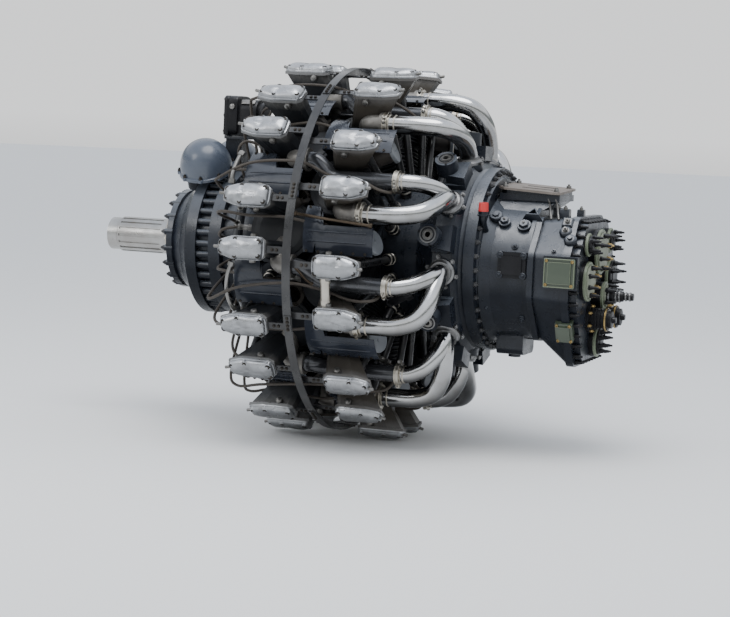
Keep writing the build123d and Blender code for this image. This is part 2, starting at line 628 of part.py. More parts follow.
def starter_drive():
    """Stepped drive shaft end at the middle of the rear wall."""
    y, z, _, depth = PADS[-1]
    x = ACCESSORY_REAR_X + depth + PAD_LID_T
    return lathe_at((y, z), [(x, 0), (x, 26), (x + 40, 26), (x + 44, 18), (x + 84, 18), (x + 84, 0)])


def lathe_at(centre, points):
    return Pos(0, centre[0], centre[1]) * lathe(points)


def boxed_cover(width, height, thick, corner):
    """Square cover with chamfered corners and a raised middle, facing +Z."""
    plate = chamfer(Box(width, height, thick).edges().filter_by(Axis.Z), corner)
    field = Pos(0, 0, thick * 0.75) * Box(width * 0.72, height * 0.72, thick * 0.5)
    return Pos(0, 0, thick / 2) * fused([plate, field])


def side_cover_black():
    y = -DRUM_HALF_WIDTH - 8
    return Pos(SIDE_SEAT_X, y, 0) * Rot(90, 0, 0) * boxed_cover(98, 88, 10, 18)


def side_cover_large():
    y = -ACCESSORY_HALF_WIDTH - 7
    return Pos(GREEN_COVER_X, y, -14) * Rot(90, 0, 0) * boxed_cover(106, 98, 12, 4)


def side_cover_small(case):
    """Cover seated on the slanted lower flank of the accessory case."""
    flank = Plane(origin=(GREEN_COVER_X + 10, -ACCESSORY_HALF_WIDTH + 62, -216),
                  x_dir=(1, 0, 0), z_dir=(0, -0.861, -0.509))
    block = flank * Pos(0, 0, -16) * Box(58, 76, 32)
    return largest(fused([flank * boxed_cover(58, 76, 10, 3), block]).cut(case))


def plug_cap():
    x, turn, rise, r = DRUM_BOSSES[0]
    return rod(drum_point(x, turn, rise), drum_point(x, turn, rise + 23), r)


def oil_sump(case):
    """Cast sump under the rear blower case."""
    block = Pos(SUMP_X, 0, DRUM_BOTTOM - 4) * Box(*SUMP)
    block = fillet(block.edges().filter_by(Axis.X).group_by(Axis.Z)[0], 24)
    plug = rod((SUMP_X, 0, DRUM_BOTTOM - 58), (SUMP_X, 0, DRUM_BOTTOM - 72), 22)
    return largest(fused([block, plug]).cut(case))


def baffle_panel(row):
    """Folded sheet between two heads of one row, at the top, seen as a hat section."""
    low, high = (AXIS_X[row] + reach for reach in PANEL_SPAN[row])
    half, foot, step = PANEL_HALF_ANGLE, PANEL_FOOT_ANGLE[row], 0.35
    crown, under = PANEL_R + PANEL_RISE, PANEL_R - SHEET_T
    arch = ThreePointArc(polar(0, PANEL_R, -half), polar(0, crown, 0), polar(0, PANEL_R, half))
    inner = ThreePointArc(polar(0, under, half - step), polar(0, crown - SHEET_T, 0),
                          polar(0, under, -half + step))
    left = Polyline(polar(0, PANEL_R, half), polar(0, PANEL_FOOT_R, foot),
                    polar(0, PANEL_FOOT_R, foot - step), polar(0, under, half - step))
    right = Polyline(polar(0, under, -half + step), polar(0, PANEL_FOOT_R, -foot + step),
                     polar(0, PANEL_FOOT_R, -foot), polar(0, PANEL_R, -half))
    face = make_face([arch, left, inner, right])
    sheet = Pos(low, 0, 0) * extrude(face, amount=high - low, dir=(1, 0, 0))
    return largest(sheet.cut(*port_clearances(row)))


def port_clearances(row):
    """Room that a panel leaves for the intake and exhaust parts of its two neighbours."""
    turn = PITCH / 2
    x = AXIS_X[row]
    start, end = exhaust_ends(row)
    stub = turned(rod(start, end + (end - start) * 0.2, EXHAUST_R + 11), turn)
    intake = turned(rod(polar(x + 10, ELBOW_R, ELBOW_ANGLE), polar(x + 400, ELBOW_R, ELBOW_ANGLE),
                        PIPE_R + 11), -turn)
    root = turned(rod(polar(x + 10, 462, 5), polar(x + ELBOW_REACH[row] - 62, ELBOW_R, ELBOW_ANGLE),
                      PIPE_R + 3), -turn)
    return [stub, intake, root]


def baffle_ring():
    """L-section hoop between the rows, with straps to every rocker box."""
    x0, x1 = RING_X - RING_W / 2, RING_X + RING_W / 2
    outer, inner = RING_OUTER_R, RING_OUTER_R - RING_DEPTH
    hoop = lathe([(x0, inner), (x0, outer), (x1, outer), (x1, outer - SHEET_T),
                  (x0 + SHEET_T, outer - SHEET_T), (x0 + SHEET_T, inner)])
    straps = []
    for row in ("front", "rear"):
        side = SIDE[row]
        reach = AXIS_X[row] + side * (ROCKER_SHIFT - COVER_LENGTH / 2 - FIT_GAP)
        near = x0 + 1 if row == "front" else x0 + 2
        strap = Pos((reach + near) / 2, 0, inner + 6) * Box(abs(near - reach), 24, 4)
        straps += [turned(strap, a + s) for a in ROW_ANGLES[row]
                   for s in (-ROCKER_ANGLE, ROCKER_ANGLE)]
    return fused([hoop] + straps)


def ignition_manifold():
    """Hoop-shaped conduit round the front of the crankcase, on nine feet."""
    ring = [radians(22.5 * k) for k in range(16)]
    hoop = lathe([(MANIFOLD_X + MANIFOLD_TUBE_R * cos(a), MANIFOLD_R + MANIFOLD_TUBE_R * sin(a))
                  for a in ring])
    foot = rod((MANIFOLD_X, 0, CASE_R), (MANIFOLD_X, 0, MANIFOLD_R), 9)
    hub = rod((MANIFOLD_X - 60, 0, 0), (MANIFOLD_X + 60, 0, 0), CASE_R + 4)
    foot = foot.cut(hub)
    return fused([hoop] + [turned(foot, a + PITCH / 4) for a in ROW_ANGLES["front"]])


def write(name, shape):
    pieces = shape if isinstance(shape, list) else [shape]
    solids = solids_of(*pieces)
    whole = solids[0] if len(solids) == 1 else Compound(children=solids)
    export_step(whole, f"parts/{name}.step")
    print(name, len(solids), round(sum(s.volume for s in solids)))


def row_units(row):
    """The pieces of one cylinder of a row, upright, by the name of their node."""
    one = cylinder(row)
    covers = [Pos(AXIS_X[row], 0, 0) * turned(rocker_cover(SIDE[row]), a)
              for a in (-ROCKER_ANGLE, ROCKER_ANGLE)]
    return one, {f"rocker_covers_{row}": covers,
                 "intake_elbows": [intake_elbow(row, one)],
                 "exhaust_stubs": [exhaust_stub(row, one)],
                 "pushrod_tubes": pushrod_tubes(row, one),
                 "spark_plugs": [spark_plug(row, s) for s in (-1, 1)],
                 "baffles": [turned(baffle_panel(row), PITCH / 2)]}


def pipe_units():
    """The intake pieces of the rear cylinder at the given angle, by the name of their node."""
    return {"intake_pipes": lambda a: [intake_pipe(a)],
            "front_intake_tubes": lambda a: [front_intake_tube(a)],
            "intake_clamps": intake_clamps}


def single_pieces():
    """Pieces that the engine has once, by the name of their node."""
    rear_case, accessories = blower_rear_case(), accessory_case()
    return {"propeller_shaft": propeller_shaft(), "thrust_bearing": thrust_bearing(),
            "thrust_cover": thrust_cover(), "nose_case": nose_case(),
            "front_accessory_case": front_accessory_case(), "magneto": magneto(),
            "distributor_domes": [distributor_dome(a) for a in (DOME_ANGLE, -DOME_ANGLE)],
            "crankcase_front": crankcase_front(), "crankcase_center": crankcase_center(),
            "crankcase_rear": crankcase_rear(), "blower_front_case": blower_front_case(),
            "blower_rear_case": rear_case, "carburettor_cover": carburettor_cover(),
            "accessory_case": accessories, "rear_pads": rear_pads(),
            "starter_drive": starter_drive(), "side_cover_black": side_cover_black(),
            "side_covers_green": [side_cover_large(), side_cover_small(accessories)],
            "plug_cap": plug_cap(),
            "oil_sump": oil_sump(rear_case), "baffle_ring": baffle_ring(),
            "ignition_manifold": ignition_manifold()}


def main():
    os.makedirs("parts", exist_ok=True)
    for name, shape in single_pieces().items():
        write(name, shape)
    families = {}
    for row in ("front", "rear"):
        one, units = row_units(row)
        for k, a in enumerate(ROW_ANGLES[row]):
            write(f"{row}_cylinder_{k + 1}", turned(one, a))
        for name, pieces in units.items():
            families.setdefault(name, []).extend(
                turned(piece, a) for a in ROW_ANGLES[row] for piece in pieces)
    for name, pieces in families.items():
        write(name, pieces)
    for name, make in pipe_units().items():
        write(name, [piece for a in ROW_ANGLES["rear"] for piece in make(a)])
    brackets = [a + BRACKET_ANGLE for a in ROW_ANGLES["front"]]
    write("mount_brackets", [turned(mount_bracket(), a) for a in brackets])
    write("mount_bushes", [turned(mount_bush(), a) for a in brackets])


main()
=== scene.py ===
import bmesh
import bpy
import json
import math
import numpy as np
from mathutils import Matrix, Vector


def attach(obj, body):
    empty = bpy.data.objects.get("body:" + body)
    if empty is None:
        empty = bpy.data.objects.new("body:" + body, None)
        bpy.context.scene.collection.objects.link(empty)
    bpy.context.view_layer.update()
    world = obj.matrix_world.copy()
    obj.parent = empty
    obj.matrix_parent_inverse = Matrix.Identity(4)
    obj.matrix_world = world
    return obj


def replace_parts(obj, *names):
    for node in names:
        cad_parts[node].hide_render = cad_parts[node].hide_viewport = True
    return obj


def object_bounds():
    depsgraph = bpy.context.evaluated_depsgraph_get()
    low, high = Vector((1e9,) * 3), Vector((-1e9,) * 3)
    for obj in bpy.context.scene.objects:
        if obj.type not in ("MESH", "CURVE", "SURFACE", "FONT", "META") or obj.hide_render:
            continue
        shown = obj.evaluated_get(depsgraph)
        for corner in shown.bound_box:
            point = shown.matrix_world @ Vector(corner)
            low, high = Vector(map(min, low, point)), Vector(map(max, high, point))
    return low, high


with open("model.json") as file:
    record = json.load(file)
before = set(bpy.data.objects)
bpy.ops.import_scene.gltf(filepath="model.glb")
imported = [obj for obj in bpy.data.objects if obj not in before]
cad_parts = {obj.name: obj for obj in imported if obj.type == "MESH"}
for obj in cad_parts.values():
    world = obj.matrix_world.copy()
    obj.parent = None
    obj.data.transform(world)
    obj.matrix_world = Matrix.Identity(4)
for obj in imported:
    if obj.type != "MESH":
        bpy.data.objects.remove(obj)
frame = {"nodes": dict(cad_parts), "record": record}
nodes = frame["nodes"]
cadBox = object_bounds()
print("frame loaded:", len(nodes), "nodes")

# the engine's own layout, in metres and degrees, as its solids have it
layout = {
    "pitch": 40.0,             # between the cylinders of a row
    "frontAxis": -0.510,       # cylinder axes along the shaft
    "rearAxis": -0.320,
    "rockerAngle": 8.0,        # each side of a cylinder's axis
    "coverSeat": 0.640,        # from the shaft to the seat of a rocker cover
    "coverShift": 0.075,       # the cover's middle, away from the other row
    "bracketTurn": -2.5,
    "bracketRadius": 0.412,
    "sunk": 0.002,             # how far the foot of a fitting reaches into what it stands on
}
frontAngles = np.arange(9) * layout["pitch"]
rearAngles = frontAngles + layout["pitch"] / 2
rows = [("front", -1, layout["frontAxis"], frontAngles), ("rear", 1, layout["rearAxis"], rearAngles)]
sunk = layout["sunk"]
aft, fore = np.array([1.0, 0, 0]), np.array([-1.0, 0, 0])
toSide, toTop = np.array([0.0, -1.0, 0.0]), np.array([0.0, 0.0, 1.0])


# points and surfaces
def polar(x, radius, angle):
    # a point at x along the shaft, radius from it, angle in degrees from the top towards -Y
    a = np.radians(angle)
    x, radius, a = np.broadcast_arrays(np.asarray(x, float), np.asarray(radius, float), a)
    return np.stack([x, -radius * np.sin(a), radius * np.cos(a)], -1)


def outward(angle):
    # the way straight out of the shaft at an angle
    return polar(0.0, 1.0, angle)


def turned(points, angle):
    # the points turned about the shaft, the top going towards -Y
    c, s = math.cos(math.radians(angle)), math.sin(math.radians(angle))
    return points @ np.array([[1, 0, 0], [0, c, s], [0, -s, c]])


def roundShaft(part, angles, shift=(0, 0, 0)):
    # the part moved by the shift, then set down at every angle round the shaft
    return [(turned(part[0] + shift, a), part[1]) for a in angles]


def rockerTurns(angles):
    # the angles of the two rocker boxes of every cylinder
    return [a + s * layout["rockerAngle"] for a in angles for s in (-1, 1)]


def grid(points, closedU=False, closedV=False):
    # four-sided faces between neighbours of a grid of points; a closed way joins its last row to its first
    nu, nv = points.shape[:2]
    u, v = np.arange(nu if closedU else nu - 1), np.arange(nv if closedV else nv - 1)
    a, b = np.meshgrid(u, v, indexing="ij")
    c, d = (a + 1) % nu, (b + 1) % nv
    quads = np.stack([a * nv + b, c * nv + b, c * nv + d, a * nv + d], -1).reshape(-1, 4)
    return points.reshape(-1, 3), quads


def spun(profile, sides=32, start=0.0):
    # (height, radius) pairs turned about Z: x = radius cos t, y = radius sin t, z = height
    p = np.asarray(profile, float)
    t = np.radians(start) + np.arange(sides) * 2 * np.pi / sides
    x, y = p[:, 1:] * np.cos(t), p[:, 1:] * np.sin(t)
    return grid(np.stack([x, y, np.repeat(p[:, :1], sides, 1)], -1), closedV=True)


def solidSpun(profile, sides=32, start=0.0):
    # the same, with the profile's two ends closed by a point on the axis
    return spun([(profile[0][0], 0), *profile, (profile[-1][0], 0)], sides, start)


def level(points, height):
    # points of a plane set at one height
    return np.column_stack([points, np.full(len(points), height)])


def joined(parts):
    # several parts as one list of points and faces
    starts = np.cumsum([0] + [len(p[0]) for p in parts[:-1]])
    return np.concatenate([p[0] for p in parts]), np.concatenate([p[1] + s for p, s in zip(parts, starts)])


def copies(part, places, directions):
    # the part set down at every place, its own Z along the direction given there
    points, quads = part
    places, z = np.atleast_2d(places), np.atleast_2d(directions).astype(float)
    places, z = np.broadcast_arrays(places, z)
    z = z / np.linalg.norm(z, axis=1, keepdims=True)
    helper = np.where(np.abs(z[:, :1]) > 0.8, [[0.0, 1.0, 0.0]], [[1.0, 0.0, 0.0]])
    x = np.cross(helper, z)
    x /= np.linalg.norm(x, axis=1, keepdims=True)
    x, y, z = x[:, None], np.cross(z, x)[:, None], z[:, None]
    out = places[:, None] + points[:, :1] * x + points[:, 1:2] * y + points[:, 2:] * z
    faces = quads[None] + (np.arange(len(places)) * len(points))[:, None, None]
    return out.reshape(-1, 3), faces.reshape(-1, 4)


def around(centre, axis, radius, count, start=0.0):
    # points evenly round a circle that is square to the axis
    axis = np.asarray(axis, float) / np.linalg.norm(axis)
    helper = (0.0, 1.0, 0.0) if abs(axis[0]) > 0.8 else (1.0, 0.0, 0.0)
    across = np.cross(helper, axis)
    across /= np.linalg.norm(across)
    up = np.cross(axis, across)
    t = (np.radians(start) + np.arange(count) * 2 * np.pi / count)[:, None]
    return np.asarray(centre, float) + radius * (np.cos(t) * across + np.sin(t) * up)


def walked(corners, count, phase=0.0):
    # points at even steps along the closed line through the corners, the first a share of a step on
    closed = np.vstack([corners, corners[:1]])
    length = np.concatenate([[0], np.cumsum(np.linalg.norm(np.diff(closed, axis=0), axis=1))])
    s = (np.arange(count) + phase) * length[-1] / count
    return np.stack([np.interp(s, length, closed[:, k]) for k in (0, 1)], -1)


def ringOf(centre, axis, inner, outer, thick, sides=32):
    # a flat ring with softened edges, lying on the plane through the centre
    edge = min(thick, outer - inner) * 0.2
    profile = [(0, inner), (0, outer), (thick - edge, outer), (thick, outer - edge), (thick, inner + edge),
               (thick - edge, inner), (0, inner)]
    return copies(spun(profile, sides), centre, axis)


def tablet(halfLong, halfWide, thick, sides=40, power=0.3):
    # a flat plate with rounded corners: x = a sgn(cos t) |cos t|^p, y = b sgn(sin t) |sin t|^p
    t = (np.arange(sides) + 0.5) * 2 * np.pi / sides
    wave = np.stack([np.cos(t), np.sin(t)], -1)
    ring = np.sign(wave) * np.abs(wave) ** power * (halfLong, halfWide)
    layers = ((0.0, -sunk), (1.0, -sunk), (1.0, thick * 0.8), (0.97, thick), (0.0, thick))
    return grid(np.stack([level(ring * size, z) for size, z in layers]), closedV=True)


def archBlock(half, base, top, corner, low, high, steps=8):
    # a block along X with an upright section whose two upper edges are rounded by quarter circles
    t = np.linspace(0, np.pi / 2, steps)
    arc = np.stack([half - corner + corner * np.cos(t), top - corner + corner * np.sin(t)], -1)
    section = np.vstack([[(half, base)], arc, (arc * (-1, 1))[::-1], [(-half, base)]])
    middle = np.array([[0.0, (base + top) / 2]])
    soft, drawnIn = 0.002, 0.985
    layers = ((low, 0.0), (low, drawnIn), (low + soft, 1.0), (high - soft, 1.0), (high, drawnIn), (high, 0.0))
    rings = [np.column_stack([np.full(len(section), x), middle + (section - middle) * size])
             for x, size in layers]
    return grid(np.stack(rings), closedV=True)


def flowing(corners, count=48):
    # a smooth curve through the corners: each span is a cubic of its two ends and of their neighbours
    p = np.asarray(corners, float)
    p = np.vstack([2 * p[0] - p[1], p, 2 * p[-1] - p[-2]])
    s = np.linspace(0, len(p) - 3 - 1e-9, count)
    k, t = s.astype(int), (s % 1)[:, None]
    a, b, c, d = p[k], p[k + 1], p[k + 2], p[k + 3]
    square, cube = (2 * a - 5 * b + 4 * c - d) * t ** 2, (3 * b - a - 3 * c + d) * t ** 3
    return 0.5 * (2 * b + (c - a) * t + square + cube)


def carried(corners, count, turn=0.0):
    # a flowing curve through corners given as x, distance from the shaft and angle, all turned by an angle
    return flowing(polar(*(np.asarray(corners) + (0, 0, turn)).T), count)


def pipe(path, radius, sides=20):
    # circles carried along the path, square to it; both ends are closed by a ring of no radius
    path = np.asarray(path, float)
    along = np.gradient(path, axis=0)
    along /= np.linalg.norm(along, axis=1, keepdims=True)
    across = np.linalg.svd(along)[2][-1]
    u = np.cross(along, across)
    u /= np.linalg.norm(u, axis=1, keepdims=True)
    v = np.cross(along, u)
    r = np.broadcast_to(np.asarray(radius, float), len(path))
    path, u, v = (np.vstack([m[:1], m, m[-1:]]) for m in (path, u, v))
    r = np.concatenate([[0], r, [0]])[:, None, None]
    t = np.arange(sides) * 2 * np.pi / sides
    ring = u[:, None] * np.cos(t)[None, :, None] + v[:, None] * np.sin(t)[None, :, None]
    return grid(path[:, None] + r * ring, closedV=True)


def placed(name, data):
    # a new object of the scene that shows the data
    thing = bpy.data.objects.new(name, data)
    bpy.context.scene.collection.objects.link(thing)
    return thing


def addPiece(name, parts, finishName, slotName=None, body="engine", sharp=38.0):
    # one mesh from its parts: doubles merged, faces turned outwards, smooth up to the sharp angle;
    # the material slot is the finish's own unless another one is given
    slotName = slotName or finishName
    points, quads = joined(parts)
    mesh = bpy.data.meshes.new(name)
    mesh.vertices.add(len(points))
    mesh.vertices.foreach_set("co", points.astype(np.float32).ravel())
    mesh.loops.add(quads.size)
    mesh.loops.foreach_set("vertex_index", quads.astype(np.int32).ravel())
    mesh.polygons.add(len(quads))
    mesh.polygons.foreach_set("loop_start", np.arange(0, quads.size, 4, dtype=np.int32))
    mesh.update(calc_edges=True)
    work = bmesh.new()
    work.from_mesh(mesh)
    bmesh.ops.remove_doubles(work, verts=work.verts, dist=1e-6)
    bmesh.ops.dissolve_degenerate(work, edges=work.edges, dist=1e-7)
    bmesh.ops.recalc_face_normals(work, faces=work.faces)
    work.to_mesh(mesh)
    work.free()
    mesh.shade_smooth()
    mesh.set_sharp_from_angle(angle=math.radians(sharp))
    mesh.materials.append(finishes[finishName])
    piece = placed(name, mesh)
    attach(piece, body)
    return piece


# finishes: what a look leaves out is as here
usualLook = {
    "patchScale": 9.0, "patchEdges": (0.42, 0.68), "wornAmount": 0.6,
    "dirtScale": 60.0, "dirtAmount": 0.3, "dirtStrength": 0.6,
    "glossScale": 2.3,         # of the changes in roughness, times the scale of the patches
    "grain": 200.0, "bump": 0.12, "bumpDepth": 0.002, "stretch": (1, 1, 1),
    # no dust with a painted highlight on what faces up and no painted shade on what faces down, unless a look
    # asks for them
    "metallic": 0.0, "coat": 0.0, "coatRough": 0.12, "sheenDown": None, "dustAndPaintedHighlight": 0.0, "paintedShadeBelow": 0.0,
    "bands": (), "ragged": 0.03,
}


def surfaceFinish(name, ownLook):
    # base colour worn to a second one in large patches, speckled with dirt, with a fine cast or brushed grain
    look = {**usualLook, **ownLook}
    material = bpy.data.materials.new(name)
    material.use_nodes = True
    tree = material.node_tree
    make, link = tree.nodes.new, tree.links.new
    shader = tree.nodes["Principled BSDF"]
    place = make("ShaderNodeTexCoord").outputs["Object"]
    stretch = make("ShaderNodeMapping")
    stretch.inputs["Scale"].default_value = look["stretch"]
    link(place, stretch.inputs["Vector"])

    def noise(scale, detail=5.0, source=place):
        n = make("ShaderNodeTexNoise")
        for socket, value in (("Scale", scale), ("Detail", detail), ("Roughness", 0.6)):
            n.inputs[socket].default_value = value
        link(source, n.inputs["Vector"])
        return n.outputs["Fac"]

    def between(source, low, high, toLow=0.0, toHigh=1.0):
        m = make("ShaderNodeMapRange")
        for socket, value in zip(("From Min", "From Max", "To Min", "To Max"), (low, high, toLow, toHigh)):
            m.inputs[socket].default_value = value
        link(source, m.inputs["Value"])
        return m.outputs["Result"]

    def mixed(factor, first, second):
        m = make("ShaderNodeMix")
        m.data_type = "RGBA"
        link(factor, m.inputs["Factor"])
        for socket, colour in ((m.inputs[6], first), (m.inputs[7], second)):
            if isinstance(colour, tuple):
                socket.default_value = (*colour, 1)
            else:
                link(colour, socket)
        return m.outputs[2]

    def facing():
        # how far the surface faces up, from -1 to 1
        split = make("ShaderNodeSeparateXYZ")
        link(make("ShaderNodeNewGeometry").outputs["Normal"], split.inputs["Vector"])
        return split.outputs["Z"]

    def fromShaft(wobble):
        # the distance from the shaft, made ragged by the specks
        flat, far, ragged = make("ShaderNodeVectorMath"), make("ShaderNodeVectorMath"), make("ShaderNodeMath")
        flat.operation, far.operation, ragged.operation = "MULTIPLY", "LENGTH", "MULTIPLY_ADD"
        flat.inputs[1].default_value = (0, 1, 1)
        ragged.inputs[1].default_value = look["ragged"]
        link(place, flat.inputs[0])
        link(flat.outputs["Vector"], far.inputs[0])
        link(wobble, ragged.inputs[0])
        link(far.outputs["Value"], ragged.inputs[2])
        return ragged.outputs["Value"]

    patches = noise(look["patchScale"])
    worn = mixed(between(patches, *look["patchEdges"], 0, look["wornAmount"]), look["base"], look["worn"])
    specks = noise(look["dirtScale"], 8.0)
    edge = 0.70 - 0.22 * look["dirtAmount"]
    colour = mixed(between(specks, edge, edge + 0.2, 0, look["dirtStrength"]), worn, look["dirt"])
    for low, high, amount, tint in look["bands"]:
        # a second colour that comes in between two distances from the shaft
        half = look["ragged"] / 2
        colour = mixed(between(fromShaft(specks), low + half, high + half, 0, amount), colour, tint)
    for key, start, end, tint in (("dustAndPaintedHighlight", 0.2, 0.9, (0.21, 0.235, 0.27)),
                                  ("paintedShadeBelow", 0.25, -0.75, (0.01, 0.011, 0.013))):
        # dust with a painted highlight on what faces up, painted shade on what faces down
        if look[key]:
            colour = mixed(between(facing(), start, end, 0, look[key]), colour, tint)
    link(colour, shader.inputs["Base Color"])
    gloss = noise(look["patchScale"] * look["glossScale"])
    link(between(gloss, 0.3, 0.7, *look["rough"]), shader.inputs["Roughness"])
    if look["sheenDown"]:
        # less sheen on what faces down, as little light comes from there
        link(between(facing(), -0.35, 0.75, *look["sheenDown"]), shader.inputs["Specular IOR Level"])
    for socket, key in (("Metallic", "metallic"), ("Coat Weight", "coat"), ("Coat Roughness", "coatRough")):
        shader.inputs[socket].default_value = look[key]
    bump = make("ShaderNodeBump")
    bump.inputs["Strength"].default_value = look["bump"]
    bump.inputs["Distance"].default_value = look["bumpDepth"]
    link(noise(look["grain"], 3.0, stretch.outputs["Vector"]), bump.inputs["Height"])
    link(bump.outputs["Normal"], shader.inputs["Normal"])
    return material


